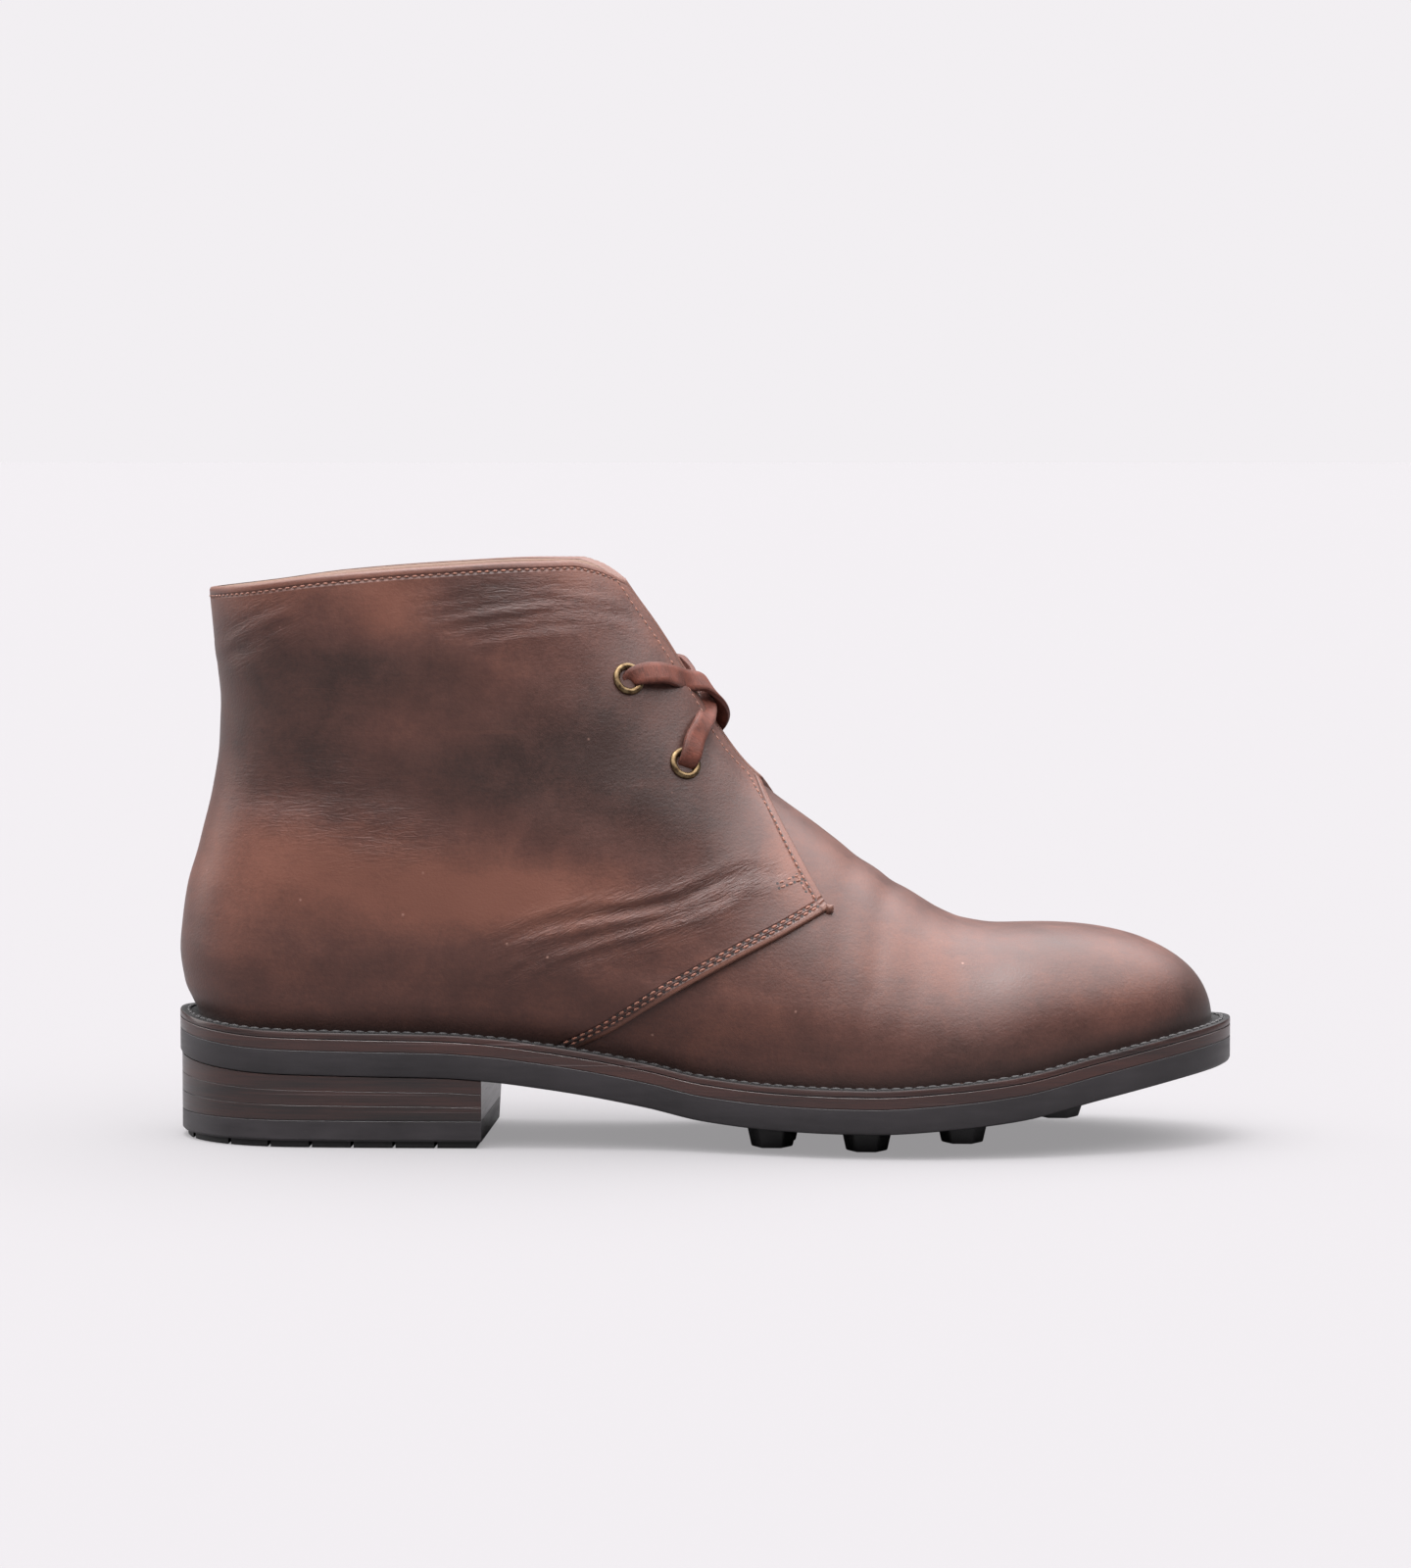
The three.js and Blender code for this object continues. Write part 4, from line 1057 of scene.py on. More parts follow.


# Dark discs at the needle holes: painted shade standing in for the shade inside each hole
def hole_shadow_mesh(name, centres, normals, size):
    turn = np.linspace(0, 2 * np.pi, 8, endpoint=False)
    points = []
    faces = []
    for centre, up in zip(centres, normals):
        side = np.cross(up, (0.3, 0.2, 0.9))
        side /= np.linalg.norm(side)
        other = np.cross(up, side)
        first = len(points)
        for ring, lift in ((1.0, -0.25), (0.8, 0.05)):
            for angle in turn:
                out = side * math.cos(angle) + other * math.sin(angle)
                points.append(centre + up * lift + out * ring * size / 2)
        for j in range(8):
            k = (j + 1) % 8
            faces.append((first + j, first + k, first + 8 + k, first + 8 + j))
        faces.append(tuple(first + 8 + j for j in range(8)))
        faces.append(tuple(first + j for j in reversed(range(8))))
    mesh = bpy.data.meshes.new(name)
    mesh.from_pydata(to_part(np.array(points)).tolist(), [], faces)
    obj = bpy.data.objects.new(name, mesh)
    bpy.context.scene.collection.objects.link(obj)
    return obj


class Quarters:
    """The outer surface of both quarters, kept for what is laid on it."""

    rows = 176
    columns = 200
    net = None

    @classmethod
    def get(cls):
        if cls.net is None:
            base, normal, corner = both_quarters(cls.rows, cls.columns)
            x = base[..., 0]
            z = base[..., 2]
            growth = quarter_growth(z - bed(x))
            fade = smooth((z - bed(x)) / 14.0)
            top = distance_to(base, base[-1, ::3])
            outer_front = np.concatenate([base[corner:, 0], base[-1:, 0]])
            inner_front = np.concatenate([base[corner:, -1], base[-1:, -1]])
            facing = np.minimum(distance_to(base, outer_front[::2]), distance_to(base, inner_front[::2]))
            seam = np.minimum(distance_to(base, base[: corner + 1, 0]),
                    distance_to(base, base[: corner + 1, -1]))
            edge = np.minimum(np.minimum(top, facing), seam)
            strength = bpy.context.scene.boot_upper.crease_strength
            crease = crease_lift(x, z, strength) * fade * smooth(edge / 7.0)
            grown = base + normal * (growth + crease)[..., None]
            inset = facing - FACING_SHIFT * smooth((z - z_up(0.5)) / 20.0)
            cls.net = {"inset": inset, "base": base, "normal": normal, "corner": corner, "growth": growth,
                       "outer": grown, "top": top, "facing": facing, "seam": seam, "edge": edge}
        return cls.net


def crossing_line(net, field, wanted, rows, along_columns, from_start):
    """Places on the quarters' surface where a distance field crosses a value."""
    outer = net["outer"]
    line = []
    normals = []
    for k in rows:
        values = field[:, k] if along_columns else field[k]
        points = outer[:, k] if along_columns else outer[k]
        ups = net["normal"][:, k] if along_columns else net["normal"][k]
        if not from_start:
            values, points, ups = values[::-1], points[::-1], ups[::-1]
        past = np.nonzero(values > wanted)[0]
        if len(past) == 0 or past[0] == 0:
            continue
        i = past[0]
        t = (wanted - values[i - 1]) / max(values[i] - values[i - 1], 1e-9)
        line.append(mix(points[i - 1], points[i], t))
        normals.append(mix(ups[i - 1], ups[i], t))
    return np.array(line), np.array(normals)


# Sizes and colours a user would change

COLOUR = {"subtype": "COLOR", "size": 3, "min": 0, "max": 1}


class BootUpperSizes(bpy.types.PropertyGroup):
    crease_strength: FloatProperty(
        name="Creases", description="Height of the creases, as a share of the worn boot's", default=1.0,
        min=0, max=2)
    edge_roll: FloatProperty(
        name="Edge roll", description="Radius of the leather's worn edges, in millimetres", default=0.55,
        min=0.1, max=0.8)
    tongue_width: FloatProperty(
        name="Tongue width", description="Width of the tongue, in millimetres", default=52.0, min=30,
        max=60)


class BootStitchSizes(bpy.types.PropertyGroup):
    edge_pitch: FloatProperty(
        name="Edge pitch", description="Length of one stitch along collar and facing, in millimetres",
        default=2.3, min=1.5, max=4)
    seam_pitch: FloatProperty(
        name="Seam pitch", description="Length of one stitch along the vamp seam, in millimetres",
        default=2.75, min=1.5, max=4)
    welt_pitch: FloatProperty(
        name="Welt pitch", description="Length of one stitch on the welt, in millimetres", default=3.4,
        min=2, max=6)
    edge_distance: FloatProperty(
        name="Edge distance", description="From the edge to the stitch row, in millimetres", default=2.5,
        min=1.5, max=4)
    row_gap: FloatProperty(
        name="Row gap", description="Between the seam's two rows, in millimetres", default=1.35, min=1.0,
        max=3)
    thread_width: FloatProperty(
        name="Thread", description="Width of the upper's thread, in millimetres", default=0.62, min=0.3,
        max=1)


class BootTrimSizes(bpy.types.PropertyGroup):
    eyelet_hole: FloatProperty(
        name="Eyelet hole", description="Radius of an eyelet's hole, in millimetres", default=2.8, min=2,
        max=4)
    eyelet_reach: FloatProperty(
        name="Eyelet rim", description="Outer radius of an eyelet, in millimetres", default=4.75,
        min=3.5, max=6)
    lace_width: FloatProperty(
        name="Lace width", description="Width of the flat lace, in millimetres", default=6.4, min=4, max=8)
    lace_thickness: FloatProperty(
        name="Lace thickness", description="Thickness of the flat lace, in millimetres", default=1.7,
        min=1, max=2.5)


class BootSoleSizes(bpy.types.PropertyGroup):
    edge_bevel: FloatProperty(
        name="Edge bevel", description="Rounding of the sole's trimmed edges, in millimetres",
        default=0.5, min=0.1, max=1)
    stations: IntProperty(
        name="Stations", description="Cross-sections along each layer of the sole", default=150, min=60,
        max=240)


class BootColours(bpy.types.PropertyGroup):
    # painted shade beside the welt, not a colour of the leather itself
    leather_painted_shade: FloatVectorProperty(
        name="Leather shadow", description="Leather beside the welt", default=(0.012, 0.006, 0.005),
        **COLOUR)
    leather_dark: FloatVectorProperty(
        name="Leather dark", description="Dark mottle of the leather", default=(0.03, 0.0125, 0.0095),
        **COLOUR)
    leather_middle: FloatVectorProperty(
        name="Leather", description="The leather's main colour", default=(0.078, 0.0295, 0.0215), **COLOUR)
    leather_light: FloatVectorProperty(
        name="Leather light", description="Pulled-up, lighter leather", default=(0.155, 0.058, 0.038),
        **COLOUR)
    cut_edge: FloatVectorProperty(
        name="Cut edge", description="Raw cut edges of the leather", default=(0.125, 0.05, 0.033), **COLOUR)
    thread: FloatVectorProperty(
        name="Thread", description="The upper's thread", default=(0.27, 0.105, 0.066), **COLOUR)
    lining: FloatVectorProperty(
        name="Lining", description="Lining leather", default=(0.2, 0.115, 0.08), **COLOUR)
    lace: FloatVectorProperty(
        name="Lace", description="The lace's leather", default=(0.115, 0.034, 0.022), **COLOUR)
    welt: FloatVectorProperty(
        name="Welt", description="The blackened welt", default=(0.007, 0.006, 0.0065), **COLOUR)
    stack_dark: FloatVectorProperty(
        name="Stack dark", description="Dark of the leather layers' edges",
        default=(0.011, 0.0075, 0.0075), **COLOUR)
    stack_red: FloatVectorProperty(
        name="Stack red", description="Reddish streaks of the leather layers",
        default=(0.05, 0.018, 0.014), **COLOUR)
    rubber: FloatVectorProperty(
        name="Rubber", description="Rubber of the sole's edge", default=(0.022, 0.019, 0.021), **COLOUR)
    # painted shade: the sole's own rubber, painted darker for the tread that faces the floor
    tread: FloatVectorProperty(
        name="Tread", description="Rubber of the tread", default=(0.006, 0.0055, 0.006), **COLOUR)
    brass: FloatVectorProperty(
        name="Brass", description="Antique brass of the eyelets", default=(0.2, 0.14, 0.075), **COLOUR)
    floor: FloatVectorProperty(
        name="Floor", description="Floor and backdrop", default=(0.887, 0.863, 0.887), **COLOUR)


FLOOR_SIZE = 60
FLOOR_SHADE = (0.147, 0.143, 0.147, 1)
FLOOR_GLOW = 0.3
FLOOR_GLOW_COLOUR = (1.0, 0.975, 1.0, 1)
DOME_COLOUR = (1.0, 0.985, 1.0, 1)
DOME_REACH = {"From Min": 0.38, "From Max": 0.78, "To Min": 0.1, "To Max": 4.8}
# Each light's name, the direction it comes from, its spread in degrees and its strength
LIGHTS = [
    ("top_light", (-0.12, -0.12, 1.0), 24.0, 1.9),
    ("front_light", (-0.45, -1.0, 0.8), 50.0, 0.3),
    ("side_light", (-1.0, 0.3, 0.3), 30.0, 0.5),
]
CAMERA_AIM = (0.0015, 0.0, 0.1023)
CAMERA_TURN = math.radians(3.0)
CAMERA_TILT = math.radians(3.7)
CAMERA_DISTANCE = 1.6
CAMERA_LENS = 126.9


class BOOT_OT_stage(bpy.types.Operator):
    """Floor, soft studio light and the camera"""
    bl_idname = "boot.stage"
    bl_label = "Stage"

    def execute(self, context):
        scene = context.scene
        floor_colour = rgba(scene.boot_colours.floor)
        deselect()
        bpy.ops.mesh.primitive_plane_add(size=FLOOR_SIZE, location=(0, 0, 0))
        floor = context.object
        floor.name = "floor"
        material, tree, shader = new_material("floor", rough=0.9, specular=0.1)
        shader.inputs["Base Color"].default_value = FLOOR_SHADE
        shader.inputs["Emission Color"].default_value = FLOOR_GLOW_COLOUR
        glow = times(tree, node(tree, "LightPath").outputs["Is Camera Ray"], FLOOR_GLOW)
        tree.links.new(glow, shader.inputs["Emission Strength"])
        floor.data.materials.append(material)
        world = scene.world or bpy.data.worlds.new("World")
        scene.world = world
        world.use_nodes = True
        tree = world.node_tree
        tree.nodes.clear()
        upward = node(tree, "SeparateXYZ", {0: node(tree, "TexCoord").outputs["Generated"]}).outputs["Z"]
        dome = node(tree, "MapRange", {"Value": upward, **DOME_REACH},
                    interpolation_type="SMOOTHSTEP").outputs["Result"]
        lit = node(tree, "Background", {"Color": DOME_COLOUR, "Strength": dome})
        seen = node(tree, "Background", {"Color": floor_colour, "Strength": 1.0})
        path = node(tree, "LightPath")
        both = node(tree, "MixShader", {0: path.outputs["Is Camera Ray"], 1: lit.outputs[0],
                2: seen.outputs[0]})
        sink = node(tree, "OutputWorld")
        tree.links.new(both.outputs[0], sink.inputs["Surface"])
        for name, out, spread, power in LIGHTS:
            bpy.ops.object.light_add(type="SUN", location=Vector(out) * 2)
            light = context.object
            light.name = name
            light.data.energy = power
            light.data.angle = math.radians(spread)
            light.rotation_euler = (-Vector(out)).to_track_quat("-Z", "Y").to_euler()
        scene.view_settings.view_transform = "Standard"
        aim = Vector(CAMERA_AIM)
        level = math.cos(CAMERA_TILT)
        out = Vector((math.sin(CAMERA_TURN) * level, -math.cos(CAMERA_TURN) * level, math.sin(CAMERA_TILT)))
        bpy.ops.object.camera_add(location=aim + out * CAMERA_DISTANCE)
        camera = context.object
        camera.name = "camera"
        camera.rotation_euler = (-out).to_track_quat("-Z", "Y").to_euler()
        camera.data.lens = CAMERA_LENS
        camera.data.sensor_width = 36
        camera.data.sensor_fit = "AUTO"
        camera.data.clip_end = 100
        scene.camera = camera
        return {"FINISHED"}


def padded(field):
    """A field of the net, carried on over the three rows and columns of the rolled edge."""
    return np.pad(field, ((0, 3), (3, 3)), mode="edge")


class BOOT_OT_quarters(bpy.types.Operator):
    """Both quarters with their creases, rolled edges and back seam"""
    bl_idname = "boot.quarters"
    bl_label = "Quarters"

    def execute(self, context):
        net = Quarters.get()
        outer = net["outer"]
        normal = net["normal"]
        edge = net["edge"]
        rows, columns = edge.shape
        roll = context.scene.boot_upper.edge_roll
        dropped = outer - normal * edge_drop(edge, roll)[..., None]
        back = columns // 2
        groove = 0.7 * np.exp(-((np.abs(outer[..., 1] - outer[:, back:back + 1, 1]) / 0.9) ** 2))
        near_back = np.abs(np.arange(columns) - back)[None] < 20
        above_welt = smooth((outer[..., 2] - bed(outer[..., 0]) - 6.0) / 12.0)
        dropped -= normal * (groove * near_back * above_welt)[..., None]
        step_down = [0.5, 1.1, 1.9]
        borders = []
        for extra in step_down:
            borders.append(dropped - normal * extra)
        full_rows = []
        for k in range(rows):
            left = [border[k, 0] for border in reversed(borders)]
            right = [border[k, -1] for border in borders]
            full_rows.append(np.concatenate([np.array(left), dropped[k], np.array(right)]))
        top_row = full_rows[-1]
        ups = np.concatenate([np.repeat(normal[-1:, 0], 3, 0), normal[-1],
                np.repeat(normal[-1:, -1], 3, 0)])
        for extra in step_down:
            full_rows.append(top_row - ups * extra)
        grid = np.array(full_rows)
        x = grid[..., 0]
        z = grid[..., 2]
        side = np.where(np.arange(grid.shape[1]) < grid.shape[1] / 2, -1.0, 1.0)[None]
        fields = {
            "tone": tone_and_painted_light_of(x, z, side + 0 * x),
            "edge": padded(np.minimum(net["top"], net["facing"])),
            "seam": padded(net["seam"]),
            "low": z - bed(x),
            **wrinkle_masks(x, z),
        }
        obj = grid_object("quarters", grid, fields, flip=True)
        distances = context.scene.boot_stitches
        grooves = (distances.edge_distance, SEAM_DISTANCE, SEAM_DISTANCE + distances.row_gap)
        material = upper_leather("quarter_leather", grooves)
        nubs = [self.nub(net, 0), self.nub(net, -1)]
        obj = join([obj] + nubs, "quarters")
        settle(obj, material)
        return {"FINISHED"}

    def nub(self, net, end):
        """The rolled end of the seam's raw edge at the quarter's corner."""
        corner = net["corner"]
        place = net["outer"][corner, end] - net["normal"][corner, end] * 0.75
        inward = net["outer"][corner, 3 if end == 0 else -4] - net["outer"][corner, end]
        inward /= np.linalg.norm(inward)
        deselect()
        bpy.ops.mesh.primitive_uv_sphere_add(segments=16, ring_count=10, radius=0.001,
                location=to_part(place - inward * 0.35))
        nub = bpy.context.object
        for vertex in nub.data.vertices:
            wave = 1 + 0.18 * math.sin(vertex.co.x * 5200 + 1) * math.cos(vertex.co.z * 4100)
            vertex.co = Vector((vertex.co.x * 1.25, vertex.co.y * 1.05, vertex.co.z * 1.35)) * wave
        bpy.ops.object.transform_apply(location=True, rotation=True, scale=True)
        for key in ("tone", "edge", "seam", "low", "level", "slant"):
            layer = nub.data.attributes.new(key, "FLOAT", "POINT")
            value = {"low": 30.0, "tone": 0.2, "seam": 20.0}.get(key, 0.0)
            layer.data.foreach_set("value", np.full(len(nub.data.vertices), value, np.float32))
        return nub


VAMP_TOP = 0.66


def front_share_at(up):
    """Share of the front line's length at a height of the shaft."""
    return FRONT_LENGTHS[int(np.argmax(FRONT[:, 1] > z_up(up)))] / FRONT_LENGTHS[-1]


def vamp_grid(rows, columns, top_share, back_line_x):
    """A net from the outer back edge over the ridge to the inner back edge, bed to throat."""
    t = (1 - np.cos(np.pi * np.linspace(0, 1, 1201))) / 2
    base = []
    for share in np.linspace(0, top_share, rows):
        line = ring_line(share, t)
        ahead = line[:, 0] - back_line_x(line[:, 1])
        behind = np.nonzero(ahead < 0)[0]
        first = behind[-1] if len(behind) else 0
        start = float(t[first])
        spread = (1 - np.cos(np.pi / 2 + np.pi / 2 * np.linspace(0, 1, columns))) - 1
        wanted = mix(start, 1, spread)
        flat = ring_line(share, wanted)
        outer = surface(flat[:, 0], flat[:, 1], -1)
        inner = surface(flat[:, 0], flat[:, 1], 1)
        outer[-1, 1] = middle_line(outer[-1, 0])
        base.append(np.concatenate([outer, inner[-2::-1]]))
    base = np.array(base)
    normal = grid_normals(base)
    if normal[rows // 2, columns // 4, 1] > 0:
        normal = -normal
    return base, normal


class BOOT_OT_vamp(bpy.types.Operator):
    """The vamp, from the toe to under the quarters and the throat"""
    bl_idname = "boot.vamp"
    bl_label = "Vamp"

    def execute(self, context):
        base, normal = vamp_grid(150, 130, front_share_at(VAMP_TOP), vamp_back_line)
        x = base[..., 0]
        z = base[..., 2]
        rise = z - bed(x)
        strength = context.scene.boot_upper.crease_strength
        soft = 0.25 * np.sin(x / 13.0 + z / 21.0) * np.sin(base[..., 1] / 15.0 + 1.0)
        flex = np.zeros_like(x)
        for at, depth, width in ((0.655, 0.35, 3.5), (0.69, 0.45, 3.0), (0.73, 0.3, 4.0)):
            along = x - x_at(at) + 0.12 * np.abs(base[..., 1])
            flex -= depth * np.exp(-((along / width) ** 2)) * smooth((rise - 14.0) / 16.0)
        lift = (soft + flex * strength) * smooth(rise / 12.0)
        grid = base + normal * lift[..., None]
        side = np.where(np.arange(grid.shape[1]) < grid.shape[1] / 2, -1.0, 1.0)[None] + 0 * x
        plain = np.full_like(x, 20.0)
        fields = {"tone": tone_and_painted_light_of(x, z, side), "edge": plain, "seam": plain, "low": rise, "level": 0 * x,
                "slant": 0 * x}
        obj = grid_object("vamp", grid, fields)
        settle(obj, upper_leather("vamp_leather", (2.5,)), nodes=("upper",))
        return {"FINISHED"}


class BOOT_OT_lining(bpy.types.Operator):
    """Lining inside the quarters and the vamp, with its cut edge at the collar"""
    bl_idname = "boot.lining"
    bl_label = "Lining"

    def execute(self, context):
        colours = context.scene.boot_colours
        base, normal, _ = both_quarters(64, 84)
        sides = np.minimum(distance_to(base, base[:, 0]), distance_to(base, base[:, -1]))
        edge = np.minimum(distance_to(base, base[-1, ::2]), sides)
        inside = base - normal * (WALL - 0.05 + edge_drop(edge, 0.4) * -1)[..., None]
        rim = []
        for k in range(inside.shape[0]):
            rim.append(np.concatenate([[base[k, 0] - normal[k, 0] * 0.3], inside[k],
                    [base[k, -1] - normal[k, -1] * 0.3]]))
        top = base[-1] - normal[-1] * 0.3
        rim.append(np.concatenate([[top[0]], top, [top[-1]]]))
        grid = np.array(rim)
        grid[-2:, :, 2] -= 0.15
        quarter_part = grid_object("lining_quarters", grid)
        base, normal = vamp_grid(60, 50, front_share_at(VAMP_TOP), vamp_back_line)
        grid = base - normal * (WALL - 0.05)
        vamp_part = grid_object("lining_vamp", grid, flip=True)
        tan = colours.lining
        material = plain_leather("lining_leather", scaled(tan, 0.7), tan, scaled(tan, 1.3), grain=0.6,
                mottle=0.5, specular=0.3)
        obj = join([quarter_part, vamp_part], "lining")
        settle(obj, material)
        return {"FINISHED"}


class BOOT_OT_tongue(bpy.types.Operator):
    """The tongue under the two facings"""
    bl_idname = "boot.tongue"
    bl_label = "Tongue"

    def execute(self, context):
        colours = context.scene.boot_colours
        half = context.scene.boot_upper.tongue_width / 2
        low = front_share_at(0.5)
        high = front_share_at(0.915)
        t = (1 - np.cos(np.pi * np.linspace(0, 1, 1601))) / 2
        across = np.linspace(-1, 1, 61)
        base = []
        for share in np.linspace(low, high, 90):
            line = ring_line(share, t)
            row = []
            narrowing = 1 - 0.15 * ((share - low) / (high - low)) ** 2
            for side in (-1, 1):
                width = half_width(line[:, 0], line[:, 1], side)
                width[-1] = 0
                peak = int(np.argmax(width > min(half * narrowing, width.max() * 0.98)))
                front = slice(max(peak, len(t) // 3), None)
                wanted = np.abs(across[across * side >= 0]) * half * narrowing
                order = width[front][::-1]
                xs = np.interp(wanted, order, line[front, 0][::-1])
                zs = np.interp(wanted, order, line[front, 1][::-1])
                ys = middle_line(xs) + side * wanted
                part = np.stack([xs, ys, zs], -1)
                row.append(part)
            base.append(np.concatenate([row[0], row[1][1:]]))
        base = np.array(base)
        normal = grid_normals(base)
        if normal[45, 30, 0] < 0:
            normal = -normal
        share = np.linspace(0, 1, 90)[:, None]
        wave = 0.35 * np.sin(share * 9.0) * np.cos(across[None] * 2.4)
        outside = base + normal * (-WALL - GAP + wave - 0.35)[..., None]
        inside = outside - normal * 1.5
        grid = np.concatenate([outside[:, ::1], inside[:, ::-1], outside[:, :1]], 1)
        cap_low = np.concatenate([inside[:1, ::1], inside[:1, ::-1], inside[:1, :1]], 1)
        cap_high = np.concatenate([inside[-1:, ::1], inside[-1:, ::-1], inside[-1:, :1]], 1)
        grid = np.concatenate([cap_low, grid, cap_high], 0)
        obj = grid_object("tongue_flap", grid)
        merge_and_face_out(obj)
        material = plain_leather("tongue_leather", colours.leather_dark, colours.leather_middle,
                colours.leather_light, tone=0.12, mottle=0.7)
        settle(obj, material, nodes=("tongue",), angle=50)
        return {"FINISHED"}


def plate(name, profile, stations, strips_top=1, strips_under=1):
    """A layer of the sole. profile rows are (offset, height function) down the side; the
    first row's height closes the top and the last row's the underside."""
    edges = [outline(offset, stations) for offset, _ in profile]
    loops = []
    for j in range(stations + 1):
        loop = []
        first_outer, first_inner = edges[0][0][j], edges[0][1][j]
        ends = j in (0, stations)
        for m in range(strips_top + 1):
            point = mix(first_outer, first_inner, m / strips_top)
            across = 1.0 if ends else 2 * m / strips_top - 1
            loop.append((point[0], point[1], float(profile[0][1](point[0], across))))
        for (outer, inner), (_, height) in zip(edges[1:-1], profile[1:-1]):
            loop.append((inner[j][0], inner[j][1], float(height(inner[j][0], 1.0))))
        last_outer, last_inner = edges[-1][0][j], edges[-1][1][j]
        for m in range(strips_under + 1):
            point = mix(last_inner, last_outer, m / strips_under)
            across = 1.0 if ends else 1 - 2 * m / strips_under
            loop.append((point[0], point[1], float(profile[-1][1](point[0], across))))
        for (outer, inner), (_, height) in zip(edges[-2:0:-1], profile[-2:0:-1]):
            loop.append((outer[j][0], outer[j][1], float(height(outer[j][0], 1.0))))
        loops.append(loop)
    points = np.array(loops)
    count = points.shape[1]
    faces = []
    for j in range(stations):
        for k in range(count):
            a = j * count + k
            b = j * count + (k + 1) % count
            faces.append((a, b, b + count, a + count))
    obj = make_object(name, points.reshape(-1, 3), faces)
    merge_and_face_out(obj, 0.000005)
    return obj


def over_bed(rise):
    return lambda x, across: bed(x) + rise


def outsole_edge(x):
    return bed(x) - MIDSOLE_THICKNESS - GAP - OUTSOLE_THICKNESS


def over_edge(rise):
    return lambda x, across: outsole_edge(x) + rise


def flat_height(value):
    return lambda x, across: value + 0 * x


def lift_height(share, rise=0.0):
    """Height at a share of the way from the heel's top piece to the outsole."""
    return lambda x, across: mix(TOP_PIECE_HEIGHT, outsole_edge(x), share) + rise


def sock_top(x, across):
    return bed(x) + GAP + INSOLE_THICKNESS + 0.5 * (1 - across ** 2)


def tread_at(x, across):
    return outsole_edge(x) - TREAD_CROWN * clamp(crown_share(x)) * (1 - across ** 2)


class BOOT_OT_welt(bpy.types.Operator):
    """The welt with its groove, and the stitches that lie in it"""
    bl_idname = "boot.welt"
    bl_label = "Welt"

    def execute(self, context):
        sizes = context.scene.boot_sole
        stitches = context.scene.boot_stitches
        bevel = sizes.edge_bevel
        top = GAP + WELT_THICKNESS
        stations = 200
        rows = [
            (-2.5, GAP), (-2.5, top - 0.2), (0.6, top - 0.15), (1.6, top), (2.1, top),
            (2.45, top - 0.35), (3.25, top - 0.35),
            (3.6, top), (WELT_REACH - bevel, top), (WELT_REACH - 0.15, top - 0.15),
            (WELT_REACH, top - bevel),
            (WELT_REACH, GAP + 0.25), (WELT_REACH - 0.25, GAP),
        ]
        edges = [outline(offset, stations) for offset, _ in rows]
        loops = []
        for (outer, inner), (_, rise) in zip(edges, rows):
            ring = np.concatenate([outer, inner[-2:0:-1]])
            loops.append(np.column_stack([ring, bed(ring[:, 0]) + rise]))
        grid = np.array(loops)
        count, around = grid.shape[:2]
        faces = []
        for k in range(count):
            for j in range(around):
                n = (k + 1) % count
                m = (j + 1) % around
                faces.append((k * around + j, k * around + m, n * around + m, n * around + j))
        obj = make_object("welt_strip", grid.reshape(-1, 3), faces)
        merge_and_face_out(obj, 0.000001)
        black = context.scene.boot_colours.welt
        material = plain_leather("welt_leather", scaled(black, 0.7), black, scaled(black, 2.4),
                grain=1.2, mottle=0.9, specular=0.22)
        obj.data.materials.append(material)
        obj.data.materials.append(stack_leather("welt_edge", 0.65))
        for face in obj.data.polygons:
            face.material_index = 1 if abs(face.normal.z) < 0.45 else 0
        settle(obj, material, nodes=("welt",), angle=40)
        outer, inner = outline(2.85, stations)
        ring = np.concatenate([outer, inner[-2:0:-1], outer[:1]])
        line = np.column_stack([ring, bed(ring[:, 0]) + top + 0.05])
        ups = np.tile([0.0, 0.0, 1.0], (len(line), 1))
        pitch = stitches.welt_pitch
        row = stitch_mesh("welt_stitches", line, ups, pitch, pitch * 0.86, 1.1, 0.95)
        settle(row, thread("welt_thread", (0.022, 0.019, 0.02), 1500.0))
        centres, normals = hole_line(line, ups, pitch)
        centres[:, 2] -= 0.2
        holes = hole_shadow_mesh("welt_hole_shadows", centres, normals, 0.8)
        settle(holes, thread("hole_shadow_welt", (0.004, 0.004, 0.004)), angle=30)
        return {"FINISHED"}


